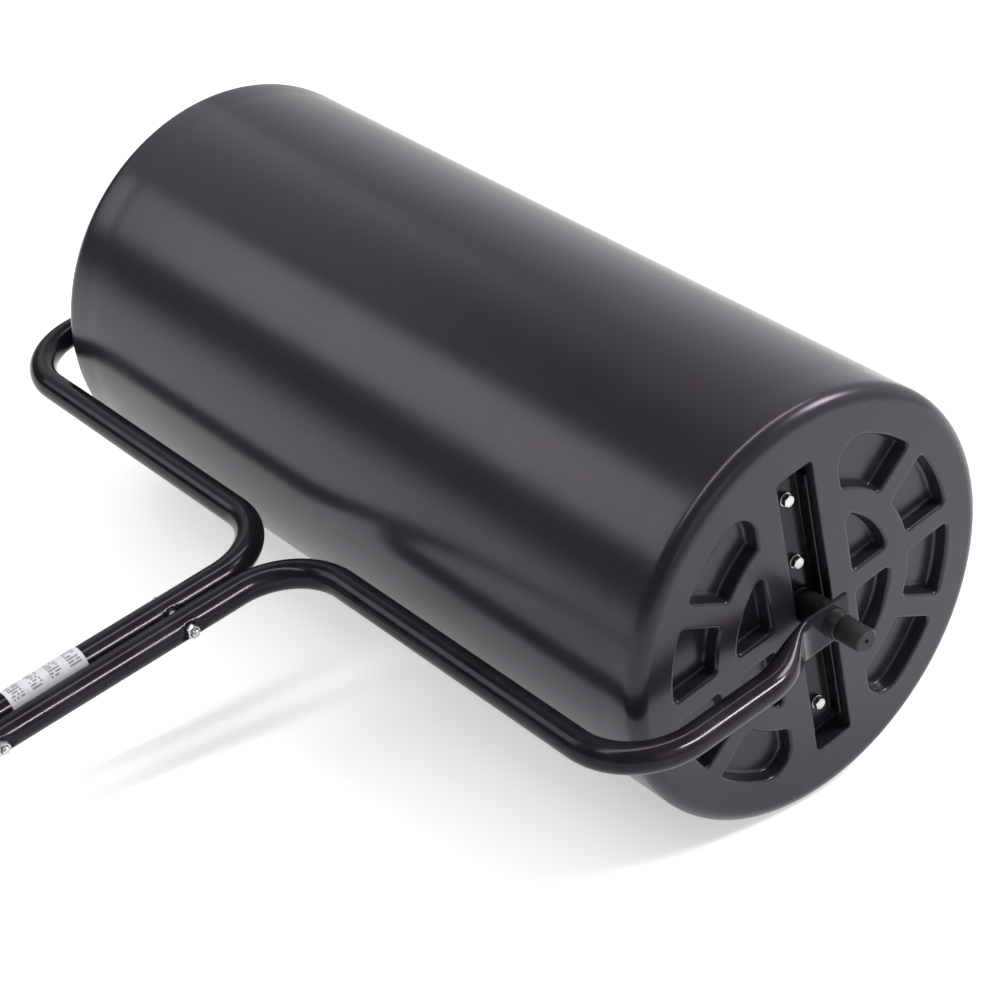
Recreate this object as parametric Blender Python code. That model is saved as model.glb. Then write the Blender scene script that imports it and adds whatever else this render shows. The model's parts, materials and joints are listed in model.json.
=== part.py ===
"""Tow-behind lawn roller: a hollow plastic drum that turns on two axle stubs in a bent-tube frame.

Metres, +Z up. The drum's axle runs along X, the tongue points to -Y and slopes down to its hitch, whose
lower lip rests on the ground at z = 0. The origin is under the middle of the roller, on the ground.
"""

import math

import bmesh
import bpy
from mathutils import Vector

# Driving dimensions
DRUM_RADIUS = 0.222
DRUM_LENGTH = 0.935
DRUM_WALL = 0.004
DRUM_EDGE_RADIUS = 0.016
DRUM_TURN = math.radians(13.5)
TUBE_RADIUS = 0.015
TUBE_WALL = 0.002
TONGUE_SLOPE = math.radians(10.72)
TONGUE_HALF_SPACING = 0.0165
GAP = 0.0003

# Moulded relief of a drum end: y runs across the bracket channel, z along it
CHANNEL_HALF_WIDTH = 0.0222
CHANNEL_HALF_LENGTH = 0.165
CHANNEL_DEPTH = 0.022
CHANNEL_CORNER = 0.004
CHANNEL_DRAFT = 0.001
POCKET_DEPTH = 0.0145
POCKET_DRAFT = 0.0022
POCKET_SIDE = 0.0526
OUTER_ARC = 0.176
RIB_OUTER_ARC = 0.124
RIB_INNER_ARC = 0.098
SPOKE_HALF_WIDTH = 0.0122
SPOKE_ANGLE = math.radians(33.5)
POCKET_CORNER = 0.0055
POCKET_BIG_CORNER = 0.024
LEAST_CORNER = 0.0015
BOSS_RADIUS = 0.010
BOSS_DEPTH = 0.042
PILOT_DEPTH = 0.038
FILL_RADIUS = 0.150
FILL_ANGLE = math.radians(53)
FILL_HOLE_RADIUS = 0.0146
FILL_HOLE_REACH = 0.008
PILOT_RADIUS = 0.0039

# Filling plug and its ring
PLUG_FLATS = 0.034
PLUG_HEIGHT = 0.009
PLUG_NECK_RADIUS = 0.0138
PLUG_NECK_LENGTH = 0.016
PLUG_BORE_RADIUS = 0.0100
GASKET_INNER = 0.0152
GASKET_OUTER = 0.018
GASKET_THICKNESS = 0.002

# Bracket and axle, as heights above the drum's end face
BRACKET_HALF_WIDTH = 0.0195
BRACKET_HALF_LENGTH = 0.148
SHEET = 0.003
WEB_BACK = -0.0217
WEB_FRONT = WEB_BACK + SHEET
FLANGE_EDGE = -0.0065
BOLT_SPOTS = (-0.126, -0.052, 0.052, 0.126)
AXLE_RADIUS = 0.0125
AXLE_END = 0.066
AXLE_CHAMFER = 0.0012
SPIGOT_RADIUS = 0.008
SPIGOT_CLEARANCE = 0.0005
BUSH_FLANGE_START = 0.0172
PLATE_MIDDLE = 0.022
BUSH_END = 0.036
BUSH_BORE_RADIUS = 0.0130
BUSH_SLEEVE_RADIUS = 0.0142
BUSH_SEAT_RADIUS = 0.0148
BUSH_SEAT_REACH = 0.006
BUSH_FLANGE_RADIUS = 0.0190
SPACER_RADIUS = 0.0160

# Fasteners
BOLT_CHAMFER = 0.0008
BRACKET_BOLT_FLATS = 0.0111
BRACKET_BOLT_HEAD = 0.0048
BRACKET_SHANK_RADIUS = 0.0032
BRACKET_HOLE_RADIUS = 0.0040
WASHER_INNER = 0.0037
WASHER_OUTER = 0.0070
TONGUE_SHANK_RADIUS = 0.0039
WASHER_THICKNESS = 0.0015
TONGUE_BOLT_FLATS = 0.013
TONGUE_BOLT_HEAD = 0.0053
TONGUE_NUT_HEIGHT = 0.0068
TONGUE_SPACER_RADIUS = 0.0065
CROSS_HOLE_RADIUS = 0.0045
HITCH_BOLT_FLATS = 0.016
HITCH_BOLT_HEAD = 0.0064
HITCH_NUT_HEIGHT = 0.008
HITCH_SHANK_RADIUS = 0.0049
HITCH_HOLE_RADIUS = 0.0056
NUT_CLEARANCE = 0.0005
BOLT_TAIL = 0.011
CUTTER_REACH = 0.04
CUTTER_MARGIN = 0.002

# Frame tube: s is the distance from the axle along the tongue
PLATE_HALF_THICKNESS = 0.002
PLATE_HALF_WIDTH = 0.0225
PLATE_BORE_HALF_THICKNESS = 0.0004
PLATE_SQUARENESS = 0.45
BORE_FLATTEST = 0.8
PLATE_OVERHANG = 0.020
PLATE_FLAT = 0.028
FLATTEN_END = 0.085
FLATTEN_STATIONS = (0.037, 0.046, 0.055, 0.064, 0.074)
S_BEND_START = 0.025
S_BEND_END = 0.105
S_BEND_STATION = 0.095
ARM_X = 0.5106
BEND_RADIUS = 0.075
CROSSPIECE_S = 0.266
TONGUE_END_S = 0.905
PINCH_SPOTS = (0.406, 0.624)
PINCH_HALF_WIDTH = 0.0116
PINCH_PROFILE = ((0.007, PINCH_HALF_WIDTH), (0.010, 0.013), (0.016, 0.015))

# Hitch
STRAP_START_S = 0.795
STRAP_HALF_WIDTH = 0.030
STRAP_SHEET = 0.005
JOGGLE_START_S = 0.912
JOGGLE_LENGTH = 0.008
JOGGLE_DEPTH = 0.005
LIP_ANGLE = math.radians(40)
LIP_LENGTH = 0.030
HITCH_BOLT_SPOTS = (0.825, 0.880)
PIN_BEHIND_LIP = 0.035
PIN_RADIUS = 0.00635
PIN_CLEARANCE = 0.0005
PIN_TAIL = 0.018
PIN_TIP_RADIUS = 0.0040
PIN_COLLAR_RADIUS = 0.0130
PIN_NECK_RADIUS = 0.0065
PIN_KNOB_RADIUS = 0.0135
CAP_STEM_RADIUS = 0.0124
CAP_STEM_LENGTH = 0.012
CAP_THICKNESS = 0.003
LABEL_START_S = 0.504
LABEL_END_S = 0.590
LABEL_THICKNESS = 0.0004
LABEL_ANGLES = (math.radians(15), math.radians(165))

END_HALF = DRUM_LENGTH / 2
STRAP_INSIDE = TUBE_RADIUS + GAP
THROAT_HALF = STRAP_INSIDE - JOGGLE_DEPTH
LIP_CORNER_Q = THROAT_HALF + LIP_LENGTH * math.sin(LIP_ANGLE) + STRAP_SHEET * math.cos(LIP_ANGLE)
LIP_CORNER_S = (DRUM_RADIUS - LIP_CORNER_Q * math.cos(TONGUE_SLOPE)) / math.sin(TONGUE_SLOPE)
LIP_BEND_S = LIP_CORNER_S + STRAP_SHEET * math.sin(LIP_ANGLE) - LIP_LENGTH * math.cos(LIP_ANGLE)
PIN_S = LIP_BEND_S - PIN_BEHIND_LIP

DRUM_SIDES = 64
HOLLOW_SIDES = 32
TUBE_SIDES = 12
BORE_SIDES = 8
ROUND_SIDES = 16
BOLT_SIDES = 12
SHARP_ANGLE = math.radians(35)


def axle_y():
    """The axle's place along Y that centres the whole roller on the origin."""
    tip_s = LIP_BEND_S + LIP_LENGTH * math.cos(LIP_ANGLE)
    tip_q = THROAT_HALF + LIP_LENGTH * math.sin(LIP_ANGLE)
    forward = tip_s * math.cos(TONGUE_SLOPE) + tip_q * math.sin(TONGUE_SLOPE)
    return (forward - DRUM_RADIUS) / 2


def clear_scene():
    for item in list(bpy.data.objects):
        bpy.data.objects.remove(item, do_unlink=True)


def material(name, colour, roughness, metallic=0.0):
    made = bpy.data.materials.new(name)
    made.use_nodes = True
    shader = made.node_tree.nodes["Principled BSDF"]
    shader.inputs["Base Color"].default_value = (*colour, 1.0)
    shader.inputs["Roughness"].default_value = roughness
    shader.inputs["Metallic"].default_value = metallic
    return made


def empty(name, location, rotation=(0, 0, 0), parent=None):
    made = bpy.data.objects.new(name, None)
    bpy.context.scene.collection.objects.link(made)
    made.empty_display_size = 0.05
    made.location = location
    made.rotation_euler = rotation
    made.parent = parent
    return made


# Mesh building: a solid is a stack of rings with the same number of points


def stack_rings(bm, rings, loop=False):
    """Adds a closed surface through the rings: capped at both ends, or running back to the first ring."""
    layers = [[bm.verts.new(point) for point in ring] for ring in rings]
    pairs = list(zip(layers, layers[1:]))
    if loop:
        pairs.append((layers[-1], layers[0]))
    else:
        bm.faces.new(layers[0])
        bm.faces.new(layers[-1])
    for lower, upper in pairs:
        for i in range(len(lower)):
            j = (i + 1) % len(lower)
            bm.faces.new((lower[i], lower[j], upper[j], upper[i]))


def finish_mesh(bm, name):
    bmesh.ops.recalc_face_normals(bm, faces=bm.faces)
    mesh = bpy.data.meshes.new(name)
    bm.to_mesh(mesh)
    bm.free()
    mesh.shade_smooth()
    mesh.set_sharp_from_angle(angle=SHARP_ANGLE)
    return mesh


def mesh_of(name, solids, loop=False):
    """One mesh from one or more stacks of rings."""
    bm = bmesh.new()
    for rings in solids:
        stack_rings(bm, rings, loop)
    return finish_mesh(bm, name)


def place(name, mesh, finish, parent, location=(0, 0, 0), rotation=(0, 0, 0)):
    made = bpy.data.objects.new(name, mesh)
    bpy.context.scene.collection.objects.link(made)
    if finish and not mesh.materials:
        mesh.materials.append(finish)
    made.parent = parent
    made.location = location
    made.rotation_euler = rotation
    return made


def cutter(name, mesh, parent):
    made = place(name, mesh, None, parent)
    made.hide_render = True
    made.display_type = "WIRE"
    return made


def cut(target, tool):
    modifier = target.modifiers.new(tool.name, "BOOLEAN")
    modifier.operation = "DIFFERENCE"
    modifier.solver = "EXACT"
    modifier.object = tool


def circle(x, radius, sides, centre=(0, 0), phase=0.0):
    """A ring round the X direction; centre is its y and z."""
    turns = [phase + 2 * math.pi * i / sides for i in range(sides)]
    return [(x, centre[0] + radius * math.cos(t), centre[1] + radius * math.sin(t)) for t in turns]


def hexagon(x, across_flats):
    """A hexagon as a ring of BOLT_SIDES points: its corners and the middles of its flats."""
    half = across_flats / 2
    ring = []
    for i in range(BOLT_SIDES):
        radius = half if i % 2 else half / math.cos(math.pi / 6)
        turn = 2 * math.pi * i / BOLT_SIDES
        ring.append((x, radius * math.cos(turn), radius * math.sin(turn)))
    return ring


def turned(profile, sides, centre=(0, 0), phase=0.0):
    return [circle(x, radius, sides, centre, phase) for x, radius in profile]


def ring_rings(x0, x1, inner, outer, sides):
    """A plain ring or sleeve along X, as a loop of four rings."""
    return turned([(x0, inner), (x0, outer), (x1, outer), (x1, inner)], sides)


# Outlines of the relief: edges in order, each a line or an arc about the drum's axis

QUARTER_MIDDLE = Vector((0.09, 0.09))


def line(normal, offset):
    return ("line", Vector(normal), offset)


def inset_edge(edge, distance):
    kind = edge[0]
    if kind == "line":
        return ("line", edge[1], edge[2] + distance)
    if kind == "outer":
        return ("outer", edge[1] - distance)
    return ("inner", edge[1] + distance)


def meet(first, second, near):
    """Where two edges cross, on the side of the point near."""
    if first[0] != "line":
        first, second = second, first
    normal, offset = first[1], first[2]
    along = Vector((-normal.y, normal.x))
    if second[0] == "line":
        other, other_offset = second[1], second[2]
        slide = (other_offset - offset * normal.dot(other)) / along.dot(other)
        return normal * offset + along * slide
    reach = math.sqrt(second[1] ** 2 - offset**2)
    ends = [normal * offset + along * reach, normal * offset - along * reach]
    return min(ends, key=lambda point: (point - near).length)


def touch(edge, centre, radius):
    """The point where a corner arc of this centre and radius meets its edge."""
    if edge[0] == "line":
        return centre - edge[1] * radius
    change = radius if edge[0] == "outer" else -radius
    return centre * ((centre.length + change) / centre.length)


def swing(centre, start, end, steps):
    """Points on the short arc about centre from start to end, both included."""
    a = start - centre
    b = end - centre
    turn = math.atan2(a.x * b.y - a.y * b.x, a.dot(b))
    base = math.atan2(a.y, a.x)
    angles = [base + turn * i / steps for i in range(steps + 1)]
    return [centre + a.length * Vector((math.cos(t), math.sin(t))) for t in angles]


def outline(edges, corners, inset, corner_steps, arc_steps):
    """The closed outline inside the edges, moved in by inset, with a rounded corner after each edge."""
    middle = Vector((0, 0))
    for i, edge in enumerate(edges):
        middle += meet(edges[i - 1], edge, QUARTER_MIDDLE) / len(edges)
    arcs = []
    for i, edge in enumerate(edges):
        following = edges[(i + 1) % len(edges)]
        radius = max(corners[i] - inset, LEAST_CORNER)
        centre = meet(inset_edge(edge, inset + radius), inset_edge(following, inset + radius), middle)
        start = touch(edge, centre, radius)
        end = touch(following, centre, radius)
        arcs.append(swing(centre, start, end, corner_steps))
    points = []
    for i, arc in enumerate(arcs):
        points += arc
        following = (i + 1) % len(edges)
        if edges[following][0] != "line":
            points += swing(Vector((0, 0)), arc[-1], arcs[following][0], arc_steps)[1:-1]
    return points


def pocket_kinds():
    """Edges and corner radii of the three pockets of one quarter, anticlockwise."""
    sine, cosine = math.sin(SPOKE_ANGLE), math.cos(SPOKE_ANGLE)
    above_spoke = line((-sine, cosine), SPOKE_HALF_WIDTH)
    below_spoke = line((sine, -cosine), SPOKE_HALF_WIDTH)
    level_spoke = line((0, 1), SPOKE_HALF_WIDTH)
    side = line((1, 0), POCKET_SIDE)
    rim = ("outer", OUTER_ARC)
    rib = ("inner", RIB_OUTER_ARC)
    hub = ("outer", RIB_INNER_ARC)
    small, big = POCKET_CORNER, POCKET_BIG_CORNER
    return [
        ((above_spoke, rim, side, rib), (small, big, small, small)),
        ((level_spoke, rim, below_spoke, rib), (small, small, small, small)),
        ((level_spoke, hub, side), (small, small, small)),
    ]


def channel_outline(grow, inset, corner_steps):
    half_width = CHANNEL_HALF_WIDTH + grow
    half_length = CHANNEL_HALF_LENGTH + grow
    edges = (
        line((1, 0), -half_width),
        line((0, 1), -half_length),
        line((-1, 0), -half_width),
        line((0, -1), -half_length),
    )
    corners = (CHANNEL_CORNER + grow,) * 4
    return outline(edges, corners, inset, corner_steps, 1)


def prism_rings(levels):
    """Rings at heights along X from flat outlines."""
    return [[(x, point.x, point.y) for point in shape] for x, shape in levels]


def end_relief(top, depth, grow, corner_steps, arc_steps):
    """The solids of one end's 12 pockets, from the height top down to the pocket depth plus depth."""
    solids = []
    bottom = -POCKET_DEPTH - depth
    for edges, corners in pocket_kinds():
        upper = outline(edges, corners, -grow, corner_steps, arc_steps)
        lower = outline(edges, corners, POCKET_DRAFT - grow, corner_steps, arc_steps)
        for side in (1, -1):
            for rise in (1, -1):
                scale = Vector((side, rise))
                levels = [(top, [p * scale for p in upper]), (bottom, [p * scale for p in lower])]
                solids.append(prism_rings(levels))
    channel_bottom = -CHANNEL_DEPTH - depth
    levels = [
        (top, channel_outline(grow, 0, corner_steps)),
        (channel_bottom, channel_outline(grow, CHANNEL_DRAFT, corner_steps)),
    ]
    solids.append(prism_rings(levels))
    return solids


def both_ends(solids):
    """Moves solids from heights above the end face to both ends of the drum."""
    placed = []
    for sign in (1, -1):
        for rings in solids:
            placed.append([[(sign * (END_HALF + x), sign * y, z) for x, y, z in ring] for ring in rings])
    return placed


def edge_profile(half, radius, edge, steps):
    """Half of a drum's profile from the middle of one end face round the edge to its side."""
    points = []
    for i in range(steps + 1):
        turn = math.pi / 2 * i / steps
        x = half - edge + edge * math.cos(turn)
        points.append((x, radius - edge + edge * math.sin(turn)))
    return points


def drum_body(half, radius, edge, steps, sides):
    """A barrel with rounded edges, standing on a flat of its polygon when the drum is turned as at rest."""
    right = edge_profile(half, radius, edge, steps)
    left = [(-x, r) for x, r in reversed(right)]
    phase = -math.pi / 2 - DRUM_TURN + math.pi / sides
    return turned(right + left, sides, phase=phase)


def fill_spot():
    """Where the filling hole is on the left end, in the drum's y and z."""
    return (FILL_RADIUS * math.cos(FILL_ANGLE), FILL_RADIUS * math.sin(FILL_ANGLE))


def make_drum_shell(finish, axis):
    corner_radius = DRUM_RADIUS / math.cos(math.pi / DRUM_SIDES)
    body = drum_body(END_HALF, corner_radius, DRUM_EDGE_RADIUS, 4, DRUM_SIDES)
    shell = place("drum_shell", mesh_of("drum_shell", [body]), finish, axis)

    inside_edge = DRUM_EDGE_RADIUS - DRUM_WALL
    hollow = drum_body(END_HALF - DRUM_WALL, DRUM_RADIUS - DRUM_WALL, inside_edge, 3, HOLLOW_SIDES)
    cavity = cutter("cavity", mesh_of("cavity", [hollow]), axis)
    lining = both_ends(end_relief(CUTTER_MARGIN - DRUM_WALL, DRUM_WALL, DRUM_WALL, 1, 3))
    cut(cavity, cutter("lining", mesh_of("lining", lining), axis))
    boss_profile = [(-CHANNEL_DEPTH, BOSS_RADIUS), (-BOSS_DEPTH, BOSS_RADIUS)]
    bosses = both_ends([turned(boss_profile, 10, (0, z)) for z in BOLT_SPOTS])
    cut(cavity, cutter("bosses", mesh_of("bosses", bosses), axis))

    relief = both_ends(end_relief(CUTTER_MARGIN / 2, 0, 0, 2, 3))
    cut(shell, cutter("relief", mesh_of("relief", relief), axis))
    cut(shell, cavity)

    pilot_top = -CHANNEL_DEPTH + CUTTER_MARGIN
    pilot_profile = [(pilot_top, PILOT_RADIUS), (-PILOT_DEPTH, PILOT_RADIUS)]
    holes = both_ends([turned(pilot_profile, 10, (0, z)) for z in BOLT_SPOTS])
    floor = -END_HALF + POCKET_DEPTH
    fill_profile = [(floor - CUTTER_MARGIN, FILL_HOLE_RADIUS)]
    fill_profile.append((floor + FILL_HOLE_REACH, FILL_HOLE_RADIUS))
    holes.append(turned(fill_profile, 16, fill_spot()))
    cut(shell, cutter("holes", mesh_of("holes", holes), axis))


def make_bracket_mesh():
    """A U-channel, web towards the drum, flanges out."""
    inside = BRACKET_HALF_WIDTH - SHEET
    section = [
        (FLANGE_EDGE, -BRACKET_HALF_WIDTH),
        (WEB_BACK + 0.001, -BRACKET_HALF_WIDTH),
        (WEB_BACK, -BRACKET_HALF_WIDTH + 0.001),
        (WEB_BACK, BRACKET_HALF_WIDTH - 0.001),
        (WEB_BACK + 0.001, BRACKET_HALF_WIDTH),
        (FLANGE_EDGE, BRACKET_HALF_WIDTH),
        (FLANGE_EDGE, inside),
        (WEB_FRONT, inside),
        (WEB_FRONT, -inside),
        (FLANGE_EDGE, -inside),
    ]
    rings = [[(x, y, z) for x, y in section] for z in (-BRACKET_HALF_LENGTH, BRACKET_HALF_LENGTH)]
    return mesh_of("bracket", [rings])


def make_end_fittings(side, finishes, end):
    """The bracket, its bolts, the axle stub and its spacer on one end of the drum."""
    bracket = place(f"axle_bracket_{side}", make_bracket_mesh(), finishes["frame"], end)
    hole = (WEB_BACK - CUTTER_MARGIN, WEB_FRONT + CUTTER_MARGIN)
    holes = [turned([(x, BRACKET_HOLE_RADIUS) for x in hole], 10, (0, z)) for z in BOLT_SPOTS]
    holes.append(turned([(x, SPIGOT_RADIUS + SPIGOT_CLEARANCE) for x in hole], 16))
    tool = cutter(f"bracket_holes_{side}", mesh_of("bracket_holes", holes), end)
    cut(bracket, tool)

    washer_base = WEB_FRONT + GAP
    washer_top = washer_base + WASHER_THICKNESS
    head = washer_top + GAP
    disc = ring_rings(washer_base, washer_top, WASHER_INNER, WASHER_OUTER, 12)
    washer = mesh_of("washer", [disc], loop=True)
    tip = CUTTER_MARGIN - PILOT_DEPTH
    sizes = (BRACKET_BOLT_HEAD, BRACKET_BOLT_FLATS, BRACKET_SHANK_RADIUS)
    bolt = bolt_mesh("bracket_bolt", head, *sizes, tip)
    for number, z in enumerate(BOLT_SPOTS, 1):
        place(f"bracket_washer_{side}_{number}", washer, finishes["zinc"], end, (0, 0, z))
        place(f"bracket_bolt_{side}_{number}", bolt, finishes["zinc"], end, (0, 0, z))

    stub = turned(
        [
            (WEB_BACK + GAP, SPIGOT_RADIUS),
            (WEB_FRONT + GAP, SPIGOT_RADIUS),
            (WEB_FRONT + GAP, AXLE_RADIUS),
            (AXLE_END - AXLE_CHAMFER, AXLE_RADIUS),
            (AXLE_END, AXLE_RADIUS - AXLE_CHAMFER),
        ],
        ROUND_SIDES,
    )
    place(f"axle_stub_{side}", mesh_of("axle_stub", [stub]), finishes["axle"], end)
    spacer_end = BUSH_FLANGE_START - GAP
    spacer = ring_rings(WEB_FRONT + GAP, spacer_end, BUSH_BORE_RADIUS, SPACER_RADIUS, ROUND_SIDES)
    place(f"axle_spacer_{side}", mesh_of("axle_spacer", [spacer], loop=True), finishes["axle"], end)


def bolt_mesh(name, head_base, head_height, across_flats, radius, tip):
    """A hex bolt along X: its head rises from head_base, its shank runs down to tip."""
    top = head_base + head_height
    chamfer = BOLT_CHAMFER
    rings = [
        hexagon(top, across_flats - 2 * chamfer),
        hexagon(top - chamfer, across_flats),
        hexagon(head_base, across_flats),
        circle(head_base, radius, BOLT_SIDES),
        circle(tip + chamfer, radius, BOLT_SIDES),
        circle(tip, radius - chamfer, BOLT_SIDES),
    ]
    return mesh_of(name, [rings])


def nut_mesh(name, base, height, across_flats, bore):
    chamfer = BOLT_CHAMFER
    rings = [
        circle(base, bore, BOLT_SIDES),
        hexagon(base, across_flats),
        hexagon(base + height - chamfer, across_flats),
        hexagon(base + height, across_flats - 2 * chamfer),
        circle(base + height, bore, BOLT_SIDES),
    ]
    return mesh_of(name, [rings], loop=True)


def make_fill_plug(finishes, end):
    """The hollow screw plug of the filling hole and its ring; both lie in an outer pocket."""
    y, z = fill_spot()
    seat = -POCKET_DEPTH + GAP
    cap_base = seat + GASKET_THICKNESS + GAP
    cap_top = cap_base + PLUG_HEIGHT
    neck_end = -POCKET_DEPTH - PLUG_NECK_LENGTH
    ring = ring_rings(seat, seat + GASKET_THICKNESS, GASKET_INNER, GASKET_OUTER, 16)
    gasket = mesh_of("fill_gasket", [ring], loop=True)
    rings = [
        hexagon(cap_top, PLUG_FLATS - 0.002),
        hexagon(cap_top - 0.001, PLUG_FLATS),
        hexagon(cap_base, PLUG_FLATS),
        circle(cap_base, PLUG_NECK_RADIUS, BOLT_SIDES),
        circle(neck_end, PLUG_NECK_RADIUS, BOLT_SIDES),
        circle(neck_end, PLUG_BORE_RADIUS, BOLT_SIDES),
        circle(cap_base + 0.003, PLUG_BORE_RADIUS, BOLT_SIDES),
    ]
    place("fill_gasket", gasket, finishes["rubber"], end, (0, -y, z))
    place("fill_plug", mesh_of("fill_plug", [rings]), finishes["plug"], end, (0, -y, z))


# Frame tubes: stations along the centreline, each with a place, a heading and a section


def ease(t):
    t = min(max(t, 0.0), 1.0)
    return (1 - math.cos(math.pi * t)) / 2


def arm_x(s):
    start = END_HALF + PLATE_MIDDLE
    return start + (ARM_X - start) * ease((s - S_BEND_START) / (S_BEND_END - S_BEND_START))


def tube_stations():
    """(x, s, heading x, heading s, flatness, half width limit) along the right tube's centreline."""
    stations = []
    step = 0.0005
    spots = (-PLATE_OVERHANG, PLATE_FLAT, *FLATTEN_STATIONS, FLATTEN_END, S_BEND_STATION, S_BEND_END)
    for s in spots:
        lean = (arm_x(s + step) - arm_x(s - step)) / (2 * step)
        length = math.hypot(lean, 1)
        flatness = 1 - ease((s - PLATE_FLAT) / (FLATTEN_END - PLATE_FLAT))
        stations.append((arm_x(s), s, lean / length, 1 / length, flatness, 1.0))
    steps = 6
    for i in range(steps + 1):
        turn = math.pi / 2 * i / steps
        x = ARM_X - BEND_RADIUS * (1 - math.cos(turn))
        s = CROSSPIECE_S - BEND_RADIUS * (1 - math.sin(turn))
        stations.append((x, s, -math.sin(turn), math.cos(turn), 0.0, 1.0))
    for i in range(steps + 1):
        turn = math.pi / 2 * i / steps
        x = TONGUE_HALF_SPACING + BEND_RADIUS * (1 - math.sin(turn))
        s = CROSSPIECE_S + BEND_RADIUS * (1 - math.cos(turn))
        stations.append((x, s, -math.cos(turn), math.sin(turn), 0.0, 1.0))
    for spot in PINCH_SPOTS:
        for offset, limit in reversed(PINCH_PROFILE):
            stations.append((TONGUE_HALF_SPACING, spot - offset, 0, 1, 0.0, limit))
        for offset, limit in PINCH_PROFILE:
            stations.append((TONGUE_HALF_SPACING, spot + offset, 0, 1, 0.0, limit))
    return stations


def tube_ring(station, sides, round_half, plate_half, plate_width, wall):
    """A section of the tube: round, flattened or pinched, as a ring in the frame's plane."""
    x, s, head_x, head_s, flatness, limit = station
    reach = round_half / math.cos(math.pi / sides)
    half = reach + (plate_half - reach) * flatness
    width = reach + (plate_width - reach) * flatness
    squareness = 1 + PLATE_SQUARENESS * flatness
    ring = []
    for i in range(sides):
        turn = 2 * math.pi * (i + 0.5) / sides
        across = half * min(max(squareness * math.cos(turn), -1), 1)
        across = min(max(across, wall - limit), limit - wall)
        up = width * min(max(squareness * math.sin(turn), -1), 1)
        ring.append((x + across * head_s, -(s - across * head_x), up))
    return ring


def mirrored(rings, side):
    return [[(side * x, y, z) for x, y, z in ring] for ring in rings]


def make_frame_tube(name, side, finish, frame, tools):
    stations = tube_stations()
    end = (TONGUE_HALF_SPACING, TONGUE_END_S, 0, 1, 0.0, 1.0)
    beyond = (TONGUE_HALF_SPACING, TONGUE_END_S + 0.005, 0, 1, 0.0, 1.0)
    outside = [
        tube_ring(item, TUBE_SIDES, TUBE_RADIUS, PLATE_HALF_THICKNESS, PLATE_HALF_WIDTH, 0)
        for item in stations + [end]
    ]
    bore = (TUBE_RADIUS - TUBE_WALL, PLATE_BORE_HALF_THICKNESS, PLATE_HALF_WIDTH - TUBE_WALL)
    inside = [
        tube_ring(item, BORE_SIDES, *bore, TUBE_WALL)
        for item in stations + [beyond]
        if item[4] < BORE_FLATTEST
    ]
    tube = place(name, mesh_of(name, [mirrored(outside, side)]), finish, frame)
    cut(tube, cutter(f"{name}_bore", mesh_of("bore", [mirrored(inside, side)]), frame))
    hole = side * (END_HALF + PLATE_MIDDLE)
    ends = (hole - BUSH_SEAT_REACH, hole + BUSH_SEAT_REACH)
    seat = mesh_of("bush_seat", [turned([(x, BUSH_SEAT_RADIUS) for x in ends], ROUND_SIDES)])
    cut(tube, cutter(f"{name}_bush_seat", seat, frame))
    for tool in tools:
        cut(tube, tool)


def upright(solids):
    """Turns solids built along X so that they stand along the frame's Z."""
    return [[[(-z, y, x) for x, y, z in ring] for ring in rings] for rings in solids]


def moved(solids, x, y):
    return [[[(px + x, py + y, pz) for px, py, pz in ring] for ring in rings] for rings in solids]


def cross_hole_tool(frame):
    profile = [(-CUTTER_REACH, CROSS_HOLE_RADIUS), (CUTTER_REACH, CROSS_HOLE_RADIUS)]
    solids = [turned(profile, 10, (-s, 0)) for s in PINCH_SPOTS]
    return cutter("cross_holes", mesh_of("cross_holes", solids), frame)


def hitch_hole_tool(frame):
    solids = []
    for s in HITCH_BOLT_SPOTS:
        for x in (-TONGUE_HALF_SPACING, TONGUE_HALF_SPACING):
            profile = [(-CUTTER_REACH, HITCH_HOLE_RADIUS), (CUTTER_REACH, HITCH_HOLE_RADIUS)]
            solids += moved(upright([turned(profile, 10)]), x, -s)
    return cutter("hitch_holes", mesh_of("hitch_holes", solids), frame)


def pin_hole_tool(frame):
    radius = PIN_RADIUS + PIN_CLEARANCE
    stud = upright([turned([(-CUTTER_REACH, radius), (CUTTER_REACH, radius)], 16)])
    return cutter("pin_holes", mesh_of("pin_holes", moved(stud, 0, -PIN_S)), frame)


def make_frame_bush(name, finish, mount):
    """A flanged bush: its flange bears on the spacer, its sleeve runs through the flattened tube."""
    flange_end = PLATE_MIDDLE - PLATE_HALF_THICKNESS - GAP
    rings = turned(
        [
            (BUSH_FLANGE_START, BUSH_BORE_RADIUS),
            (BUSH_FLANGE_START, BUSH_FLANGE_RADIUS),
            (flange_end, BUSH_FLANGE_RADIUS),
            (flange_end, BUSH_SLEEVE_RADIUS),
            (BUSH_END, BUSH_SLEEVE_RADIUS),
            (BUSH_END, BUSH_BORE_RADIUS),
        ],
        ROUND_SIDES,
    )
    place(name, mesh_of(name, [rings], loop=True), finish, mount)


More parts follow.
